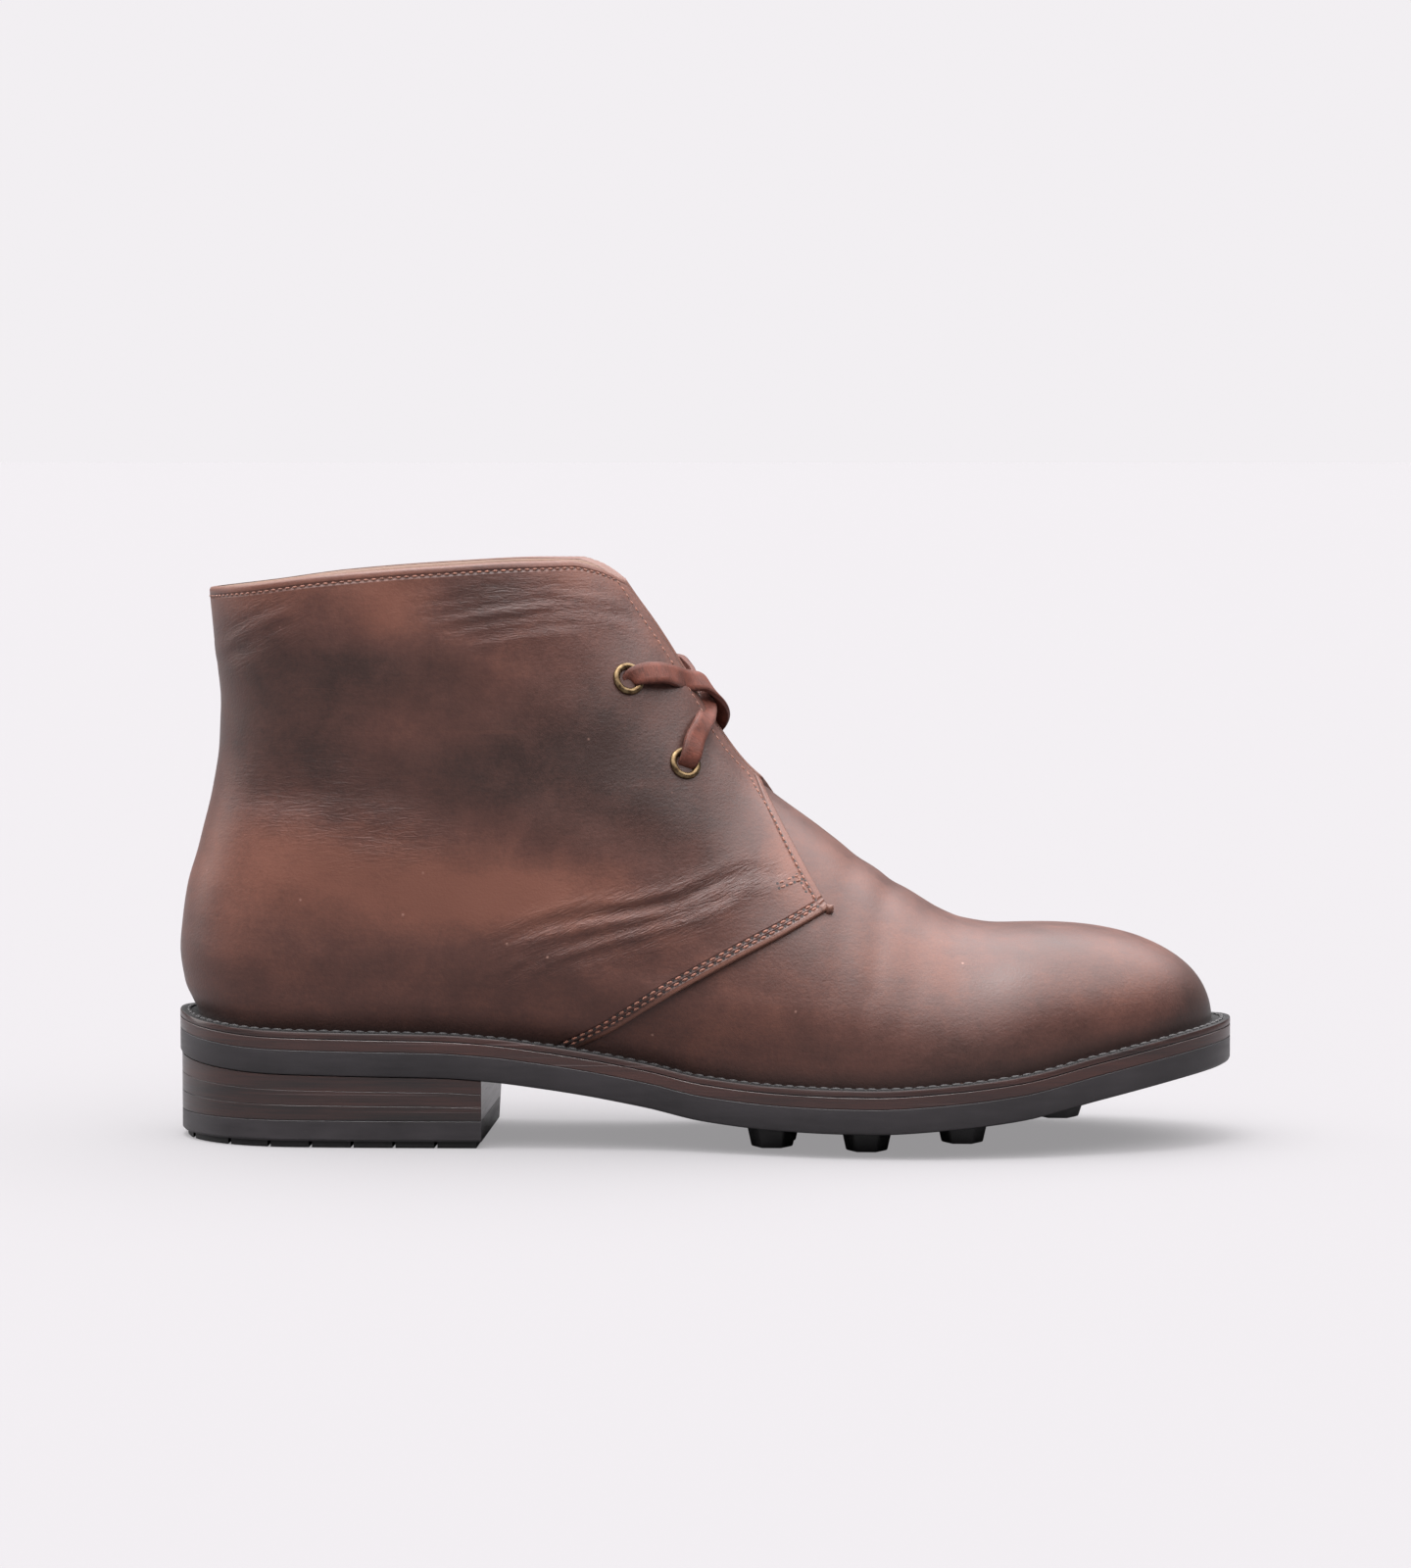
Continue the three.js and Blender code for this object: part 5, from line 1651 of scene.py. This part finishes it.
class BOOT_OT_sole(bpy.types.Operator):
    """Midsole, rubber outsole, tread and studs"""
    bl_idname = "boot.sole"
    bl_label = "Sole"

    def execute(self, context):
        colours = context.scene.boot_colours
        sizes = context.scene.boot_sole
        bevel = sizes.edge_bevel * 0.3
        stations = sizes.stations
        reach = WELT_REACH
        low = -MIDSOLE_THICKNESS
        midsole = plate("midsole_layer", [
            (reach - bevel, over_bed(GAP * 0.8)), (reach, over_bed(GAP * 0.8 - bevel)),
            (reach, over_bed(low * 0.5)),
            (reach, over_bed(low + bevel - GAP * 0.8)), (reach - bevel, over_bed(low - GAP * 0.8)),
        ], stations)
        settle(midsole, stack_leather("midsole_edge", 0.75), nodes=("midsole",),
               angle=40)
        roof = low - GAP
        lip = 1.0
        body = plate("rubber_outsole", [
            (reach - bevel, over_bed(roof)), (reach, over_bed(roof - bevel)),
            (reach, over_edge(lip)), (reach - 0.35, over_edge(0.3)), (reach - lip, over_edge(0.0)),
            (reach - lip - 0.6, tread_at),
        ], stations, strips_under=12)
        pieces = [body]
        for row in range(STUD_ROWS):
            for place in range(STUD_COLUMNS):
                side = 2 * place / (STUD_COLUMNS - 1) - 1
                pieces.append(self.stud(context, float(x_at(FIRST_STUD_AT)) + row * STUD_PITCH, side,
                        STUD_DEPTHS[row]))
        rubber_dark = rubber("outsole_rubber", colours.rubber, 0.42)
        tread = rubber("tread_rubber_shaded", colours.tread, 0.55)
        body.data.materials.append(rubber_dark)
        body.data.materials.append(tread)
        for stud in pieces[1:]:
            stud.data.materials.append(rubber_dark)
            stud.data.materials.append(tread)
        # painted shade: faces turned to the floor get the darker tread rubber, the edge's rubber painted
        # darker; its higher roughness is a matte finish
        for face in body.data.polygons:
            if face.normal.z < -0.6:
                face.material_index = 1
        obj = join(pieces, "rubber_outsole")
        settle(obj, rubber_dark, nodes=("outsole",), angle=35)
        return {"FINISHED"}

    def stud(self, context, x, side, depth):
        across = side * STUD_SPREAD
        half = float(half_width(x, bed(x), -1 if side < 0 else 1))
        y = float(middle_line(x)) + across * (half + WELT_REACH)
        foot = max(0.0, float(tread_at(x, across)) - depth)
        root = float(tread_at(x, across)) + OUTSOLE_THICKNESS / 3
        deselect()
        centre = to_part((x, y, (root + foot) / 2))
        bpy.ops.mesh.primitive_cone_add(
            vertices=6, radius1=STUD_SIZE / 2.5 / 1000, radius2=STUD_SIZE / 2000,
            depth=(root - foot) / 1000, location=centre, rotation=(0, 0, math.pi / 6))
        stud = context.object
        bpy.ops.object.transform_apply(location=True, rotation=True, scale=True)
        apply_modifier(stud, "BEVEL", width=0.0006, segments=2, limit_method="ANGLE")
        mode("EDIT")
        bpy.ops.mesh.select_all(action="DESELECT")
        mode("OBJECT")
        for face in stud.data.polygons:
            face.select = face.normal.z < -0.95 and face.area > 0.00005
        mode("EDIT")
        bpy.ops.mesh.inset(thickness=0.0022, depth=0)
        bpy.ops.mesh.inset(thickness=0.0005, depth=-0.0007)
        mode("OBJECT")
        # painted shade: the whole stud takes the darker tread rubber
        for face in stud.data.polygons:
            face.material_index = 1
        return stud


def cut_heel(obj, front=HEEL_LENGTH):
    """Cuts a layer to the heel's plan, with the inner front corner cut away."""
    activate(obj)
    corner_y = float(middle_line(HEEL_LENGTH) + inner_width(HEEL_LENGTH)) + WELT_REACH
    outward = Vector((1, 1, -0.7)).normalized()
    corner = to_part((HEEL_LENGTH, corner_y - INNER_CORNER_CUT, TOP_PIECE_HEIGHT))
    for place, direction in ((to_part((front, 0, 0)), Vector((1, 0, 0))), (corner, outward)):
        mode("EDIT")
        bpy.ops.mesh.select_all(action="SELECT")
        bpy.ops.mesh.bisect(plane_co=place, plane_no=direction, use_fill=True, clear_outer=True)
        mode("OBJECT")
    return obj


class BOOT_OT_heel(bpy.types.Operator):
    """Leather lifts and the rubber top piece with its ribs"""
    bl_idname = "boot.heel"
    bl_label = "Heel"

    def execute(self, context):
        colours = context.scene.boot_colours
        bevel = 0.1
        reach = WELT_REACH - HEEL_INSET
        for level in range(LIFT_COUNT):
            low = level / LIFT_COUNT
            high = (level + 1) / LIFT_COUNT
            lift = plate(f"heel_layer_{level + 1}", [
                (reach - bevel, lift_height(high, -LIFT_GAP)),
                (reach, lift_height(high, -LIFT_GAP - bevel)),
                (reach, lift_height((low + high) / 2, -LIFT_GAP / 2)),
                (reach, lift_height(low, bevel)), (reach - bevel, lift_height(low)),
            ], 120)
            cut_heel(lift)
            name = f"heel_lift_{level + 1}"
            settle(lift, stack_leather(f"lift_edge_{level + 1}", 0.35 + 0.1 * level), nodes=(name,),
                   angle=40)
        body = plate("heel_rubber", [
            (reach - bevel, flat_height(TOP_PIECE_HEIGHT - 0.12)),
            (reach, flat_height(TOP_PIECE_HEIGHT - 0.12 - bevel)),
            (reach, flat_height(HEEL_RIB_DEPTH + 0.6)), (reach - 0.5, flat_height(HEEL_RIB_DEPTH)),
        ], 120)
        cut_heel(body)
        body.data.materials.append(rubber("heel_rubber", colours.rubber, 0.4))
        body.data.materials.append(rubber("heel_tread_shaded", colours.tread, 0.6))
        pieces = [body]
        front = HEEL_LENGTH - HEEL_RIB_INSET
        while front > HEEL_RIB_PITCH / 2:
            pieces.append(self.rib(front, reach))
            front -= HEEL_RIB_PITCH
        for piece in pieces[1:]:
            piece.data.materials.append(body.data.materials[0])
            piece.data.materials.append(body.data.materials[1])
            # painted shade: the heel's ribs take the darker tread rubber
            for face in piece.data.polygons:
                face.material_index = 1
        obj = join(pieces, "heel_rubber")
        settle(obj, body.data.materials[0], nodes=("heel_top_piece",), angle=35)
        return {"FINISHED"}

    def rib(self, front, reach):
        inset = reach - HEEL_RIB_INSET
        rib = plate("rib", [(inset, flat_height(TOP_PIECE_HEIGHT / 2)), (inset, flat_height(0.35)),
                (inset - 0.35, flat_height(0.0))], 120)
        cut_heel(rib, front)
        activate(rib)
        mode("EDIT")
        bpy.ops.mesh.select_all(action="SELECT")
        bpy.ops.mesh.bisect(plane_co=to_part((front - HEEL_RIB_WIDTH, 0, 0)), plane_no=(-1, 0, 0),
                use_fill=True, clear_outer=True)
        mode("OBJECT")
        return rib


class BOOT_OT_sock(bpy.types.Operator):
    """The insole with its leather sock"""
    bl_idname = "boot.sock"
    bl_label = "Insole"

    def execute(self, context):
        tan = context.scene.boot_colours.lining
        inset = -WALL - GAP
        obj = plate("leather_sock", [
            (inset - 0.8, sock_top),
            (inset, over_bed(GAP + INSOLE_THICKNESS - 0.6)), (inset - 0.2, over_bed(GAP)),
        ], 120, strips_top=10)
        material = plain_leather("sock_leather", scaled(tan, 0.55), scaled(tan, 0.85), tan, grain=0.8,
                mottle=0.8, specular=0.3)
        settle(obj, material, nodes=("insole",), angle=50)
        return {"FINISHED"}


def quarter_place(row, side):
    """Place and outward direction on a quarter's surface, in millimetres."""
    x = float(x_at(row[0]))
    z = float(z_up(row[1]))
    step = 0.5
    point = surface(x, z, side)
    along_x = surface(x + step, z, side) - surface(x - step, z, side)
    along_z = surface(x, z + step, side) - surface(x, z - step, side)
    normal = np.cross(along_x, along_z)
    normal = -side * normal / np.linalg.norm(normal)
    return point + normal * QUARTER_STEP, normal


class BOOT_OT_eyelets(bpy.types.Operator):
    """Four rolled brass rings with their barrels"""
    bl_idname = "boot.eyelets"
    bl_label = "Eyelets"

    def execute(self, context):
        sizes = context.scene.boot_trim
        material = brass("eyelet_brass", context.scene.boot_colours.brass)
        tube = (sizes.eyelet_reach - sizes.eyelet_hole) / 2
        for label, row in EYELET_PLACES.items():
            for side, word in ((-1, "outer"), (1, "inner")):
                point, normal = quarter_place(row, side)
                deselect()
                bpy.ops.mesh.primitive_torus_add(
                    major_radius=(sizes.eyelet_hole + tube) / 1000, minor_radius=tube / 1000,
                    major_segments=48, minor_segments=16)
                ring = context.object
                for vertex in ring.data.vertices:
                    vertex.co.z = vertex.co.z * 0.85 + 0.0002
                bpy.ops.mesh.primitive_cylinder_add(
                    vertices=48, radius=(sizes.eyelet_hole + 0.35) / 1000, depth=0.0042,
                    end_fill_type="NOTHING", location=(0, 0, -0.0019))
                barrel = context.object
                bpy.ops.object.transform_apply(location=True, rotation=False, scale=False)
                apply_modifier(barrel, "SOLIDIFY", thickness=0.00035, offset=-1)
                ring = join([ring, barrel], f"ring_{word}_{label}")
                turn = Vector((0, 0, 1)).rotation_difference(Vector(normal)).to_matrix().to_4x4()
                ring.data.transform(Matrix.Translation(Vector(to_part(point))) @ turn)
                settle(ring, material, nodes=(f"eyelet_{word}_{label}",), angle=50)
        return {"FINISHED"}


def over_throat(row, lift):
    x = float(x_at(row[0]))
    step = 0.5
    slope = float(front_line(x + step) - front_line(x - step)) / (2 * step)
    normal = np.array([-slope, 0, 1.0])
    normal /= np.linalg.norm(normal)
    point = np.array([x, float(middle_line(x)), float(front_line(x))])
    return point + normal * (QUARTER_STEP + lift), normal


def path_lengths(points):
    chord = np.sqrt(np.linalg.norm(np.diff(np.asarray(points, float), axis=0), axis=1))
    return np.concatenate([[0], np.cumsum(chord)])


def smooth_path(points, at, count):
    """A smooth curve through places that stand at the given lengths."""
    points = np.asarray(points, float)
    wanted = np.linspace(0, at[-1], count)
    tangents = np.gradient(points, at, axis=0)
    i = np.clip(np.searchsorted(at, wanted, side="right") - 1, 0, len(at) - 2)
    span = (at[i + 1] - at[i])[:, None]
    t = ((wanted - at[i]) / span[:, 0])[:, None]
    a = 2 * t ** 3 - 3 * t ** 2 + 1
    b = t ** 3 - 2 * t ** 2 + t
    c = -2 * t ** 3 + 3 * t ** 2
    d = t ** 3 - t ** 2
    return a * points[i] + b * span * tangents[i] + c * points[i + 1] + d * span * tangents[i + 1]


def strap(name, points, ups, widths, thickness, steps=120):
    """A flat leather strap with rounded edges along a path."""
    at = path_lengths(points)
    centre = smooth_path(points, at, steps)
    up = smooth_path(ups, at, steps)
    width = np.interp(np.linspace(0, at[-1], steps), at, widths)
    ahead = np.gradient(centre, axis=0)
    ahead /= np.linalg.norm(ahead, axis=1)[:, None]
    up -= ahead * np.sum(up * ahead, axis=1)[:, None]
    up /= np.linalg.norm(up, axis=1)[:, None]
    across = np.cross(ahead, up)
    half = thickness / 2
    roll = 0.32
    section = [(-1, -half + roll, 0), (-1, half - roll, 0), (-1, half, roll), (-0.5, half + 0.04, 0),
            (0, half + 0.06, 0), (0.5, half + 0.04, 0),
               (1, half, -roll), (1, half - roll, 0), (1, -half + roll, 0), (1, -half, -roll),
               (0, -half, 0), (-1, -half, roll)]
    loops = []
    for w, h, shift in section:
        loops.append(centre + across * (w * width / 2 + shift)[:, None] + up * h)
    grid = np.array(loops).transpose(1, 0, 2)
    count = len(section)
    faces = []
    for i in range(steps - 1):
        for k in range(count):
            a = i * count + k
            b = i * count + (k + 1) % count
            faces.append((a, b, b + count, a + count))
    faces.append(tuple(reversed(range(count))))
    faces.append(tuple((steps - 1) * count + k for k in range(count)))
    run = np.concatenate([[0], np.cumsum(np.linalg.norm(np.diff(centre, axis=0), axis=1))])
    fields = {"along": np.repeat(run, count), "across": np.tile([w for w, _, _ in section], steps)}
    obj = make_object(name, grid.reshape(-1, 3), faces, fields)
    merge_and_face_out(obj, 0.000001)
    return obj


def lace_material(name, colour):
    material, tree, shader = new_material(name, sheen=0.03, specular=0.28)
    coords = node(tree, "TexCoord").outputs["Object"]
    along = attribute(tree, "along")
    across = attribute(tree, "across")
    cross = node(tree, "CombineXYZ", {0: times(tree, along, 2.4), 1: times(tree, across, 1.3),
            2: 0.0}).outputs[0]
    grain = noise(tree, cross, 1.0, 3.0, 0.65)
    cloud = noise(tree, coords, 180.0, 3.0, 0.6)
    fine = noise(tree, coords, 1800.0, 2.0, 0.6)
    share = plus(tree, times(tree, grain, 0.5), times(tree, cloud, 0.5))
    dark = scaled(colour, 0.55)
    light = scaled(colour, 1.5)
    shade = blend_colours(tree, ramp_share(tree, share, 0.35, 0.65), rgba(dark), rgba(light))
    rim = ramp_share(tree, maths(tree, "ABSOLUTE", across), 0.8, 1.0)
    shade = blend_colours(tree, times(tree, rim, 0.35), shade, rgba(scaled(colour, 0.35)))
    bump = node(tree, "Bump", {"Height": plus(tree, grain, times(tree, fine, 0.4)), "Strength": 0.5,
            "Distance": 0.00025})
    gloss = plus(tree, times(tree, grain, 0.2), 0.42)
    wire(tree, shader, {"Base Color": shade, "Roughness": gloss, "Normal": bump.outputs["Normal"]})
    return material


class BOOT_OT_lace(bpy.types.Operator):
    """The flat leather lace, run through the four eyelets and crossed once"""
    bl_idname = "boot.lace"
    bl_label = "Lace"

    def execute(self, context):
        sizes = context.scene.boot_trim
        width = sizes.lace_width
        thickness = sizes.lace_thickness
        pieces = []
        for label, rows in LACE_STRANDS.items():
            pieces.append(self.strand(label, rows, width, thickness))
        inner_bar = []
        ups = []
        for share in np.linspace(0, 1, 7):
            side = -1 if share < 0.5 else 1
            point, normal = quarter_place(EYELET_PLACES["bottom"], side)
            middle, out = over_throat(EYELET_PLACES["bottom"], 0)
            point = point - normal * (WALL + QUARTER_STEP + 1.4)
            weight = (1 - abs(2 * share - 1)) ** 0.8
            centre = middle - out * (WALL + QUARTER_STEP + 7.0)
            inner_bar.append(mix(point, centre, weight))
            ups.append(mix(normal, out, weight))
        pieces.append(strap("bar", inner_bar, ups, [width * 0.8] * 7, thickness * 0.8, 40))
        obj = join(pieces, "lace_strap")
        settle(obj, lace_material("lace_leather", context.scene.boot_colours.lace), nodes=("lace",),
               angle=45)
        return {"FINISHED"}

    def strand(self, label, rows, width, thickness):
        """One strand, hole to hole. A row lies on a quarter, or over the throat."""
        points = []
        ups = []
        widths = []
        for kind, at, up, height, lean, share in rows:
            if kind == "over":
                x = float(x_at(at))
                z = float(z_up(up))
                point = np.array([x, float(middle_line(x)) + height, z])
                normal = np.array([0.55, 0.0, 0.83])
                normal = normal * (1 - abs(lean)) + np.array([0.0, 1.0, 0.0]) * lean
            else:
                side = -1 if kind == "outer" else 1
                point, normal = quarter_place((at, up), side)
                point = point + normal * height
                normal = normal + np.array([lean, 0.0, 0.0])
            points.append(point)
            ups.append(normal / np.linalg.norm(normal))
            widths.append(width * share)
        return strap(f"strand_{label}", points, ups, widths, thickness)


class BOOT_OT_stitches(bpy.types.Operator):
    """Stitch rows of the collar, facings and vamp seam, with painted shade at their needle holes"""
    bl_idname = "boot.stitches"
    bl_label = "Stitches"

    def execute(self, context):
        net = Quarters.get()
        sizes = context.scene.boot_stitches
        rows, columns = net["edge"].shape
        corner = net["corner"]
        d = sizes.edge_distance
        lines = []
        fronts = []
        for outer_side in (True, False):
            span = range(corner + 1, rows - 3)
            line, ups = crossing_line(net, net["inset"], d, span, False, outer_side)
            keep = self.field_at(net, line, "top") > d
            fronts.append((line[keep], ups[keep]))
        collar, collar_ups = crossing_line(net, net["top"], d, range(2, columns - 2), True, False)
        keep = self.field_at(net, collar, "inset") > d
        collar, collar_ups = collar[keep], collar_ups[keep]
        whole = np.concatenate([fronts[0][0], collar, fronts[1][0][::-1]])
        whole_ups = np.concatenate([fronts[0][1], collar_ups, fronts[1][1][::-1]])
        lines.append((whole, whole_ups, sizes.edge_pitch))
        for outer_side in (True, False):
            for distance in (SEAM_DISTANCE, SEAM_DISTANCE + sizes.row_gap):
                line, ups = crossing_line(net, net["seam"], distance, range(4, corner + 1), False,
                        outer_side)
                keep = self.field_at(net, line, "facing") > distance * 0.9
                lines.append((line[keep], ups[keep], sizes.seam_pitch))
            facing_ahead = distance_to(net["outer"],
                    net["outer"][corner:corner + 2, 0 if outer_side else -1])
            bar = corner + int(np.argmax(facing_ahead[corner:, 0 if outer_side else -1] > BAR_RISE))
            line, ups = crossing_line(net, net["facing"], d + sizes.row_gap, range(corner + 3, bar),
                    False, outer_side)
            lines.append((line, ups, sizes.seam_pitch))
            end = line[-1]
            for row in range(2):
                along = np.linspace(0, BAR_LENGTH, 12)
                x = end[0] + 1.0 - math.cos(BAR_SLOPE) * along + math.sin(BAR_SLOPE) * sizes.row_gap * row
                z = end[2] - math.sin(BAR_SLOPE) * along - math.cos(BAR_SLOPE) * sizes.row_gap * row
                lines.append((*self.lie_on(net, x, z, outer_side), sizes.seam_pitch * 0.8))
        threads = []
        holes = []
        width = sizes.thread_width
        for i, (line, ups, pitch) in enumerate(lines):
            if len(line) < 3:
                raise RuntimeError(f"stitch row {i} found no line to lie on")
            raised = line + ups * 0.02
            heavy = 1.2 if i else 1.0
            threads.append(stitch_mesh(f"row_{i}", raised, ups, pitch, pitch * 0.64, width * heavy,
                    width * 0.8))
            # dark discs of painted shade at the needle holes
            centres, normals = hole_line(line, ups, pitch)
            holes.append(hole_shadow_mesh(f"holes_{i}", centres, normals, 0.98 if i else 0.78))
        obj = join(threads, "upper_stitches")
        settle(obj, thread("upper_thread", context.scene.boot_colours.thread))
        obj = join(holes, "needle_holes")
        settle(obj, thread("hole_shadow", (0.018, 0.008, 0.006)), angle=30)
        return {"FINISHED"}

    def lie_on(self, net, x, z, outer_side):
        """Places and normals on one quarter below side view points."""
        half = net["outer"].shape[1] // 2
        part = slice(0, half) if outer_side else slice(half, None)
        points = net["outer"][:, part].reshape(-1, 3)
        normals = net["normal"][:, part].reshape(-1, 3)
        found = []
        ups = []
        for a, b in zip(x, z):
            apart = np.hypot(points[:, 0] - a, points[:, 2] - b)
            near = np.argpartition(apart, 5)[:5]
            weight = 1 / (apart[near] + 0.01)
            weight /= weight.sum()
            found.append((a, float(points[near, 1] @ weight), b))
            ups.append(weight @ normals[near])
        return np.array(found), np.array(ups)

    def field_at(self, net, line, name):
        flat = net["outer"].reshape(-1, 3)
        values = net[name].ravel()
        result = []
        for point in line:
            near = np.argmin(np.sum((flat - point) ** 2, axis=1))
            result.append(values[near])
        return np.array(result)


OPERATORS = [
    BOOT_OT_stage, BOOT_OT_vamp, BOOT_OT_quarters, BOOT_OT_lining, BOOT_OT_tongue, BOOT_OT_sock,
    BOOT_OT_welt,
    BOOT_OT_sole, BOOT_OT_heel, BOOT_OT_eyelets, BOOT_OT_lace, BOOT_OT_stitches,
]
GROUPS = {
    "boot_upper": BootUpperSizes,
    "boot_stitches": BootStitchSizes,
    "boot_trim": BootTrimSizes,
    "boot_sole": BootSoleSizes,
    "boot_colours": BootColours,
}


class BOOT_PT_panel(bpy.types.Panel):
    """Sizes, colours and pieces of the boot"""
    bl_label = "Chukka boot"
    bl_idname = "BOOT_PT_panel"
    bl_space_type = "VIEW_3D"
    bl_region_type = "UI"
    bl_category = "Boot"

    def draw(self, context):
        for name in GROUPS:
            box = self.layout.box()
            group = getattr(context.scene, name)
            for key in group.__annotations__:
                box.prop(group, key)
        for operator in OPERATORS:
            self.layout.operator(operator.bl_idname)


def register():
    for cls in list(GROUPS.values()) + OPERATORS + [BOOT_PT_panel]:
        bpy.utils.register_class(cls)
    for name, cls in GROUPS.items():
        setattr(bpy.types.Scene, name, PointerProperty(type=cls))


def unregister():
    for name in GROUPS:
        delattr(bpy.types.Scene, name)
    for cls in reversed(list(GROUPS.values()) + OPERATORS + [BOOT_PT_panel]):
        bpy.utils.unregister_class(cls)


def main():
    register()
    for operator in OPERATORS:
        group, name = operator.bl_idname.split(".")
        getattr(getattr(bpy.ops, group), name)()
    bpy.context.view_layer.update()


if __name__ == "__main__":
    main()
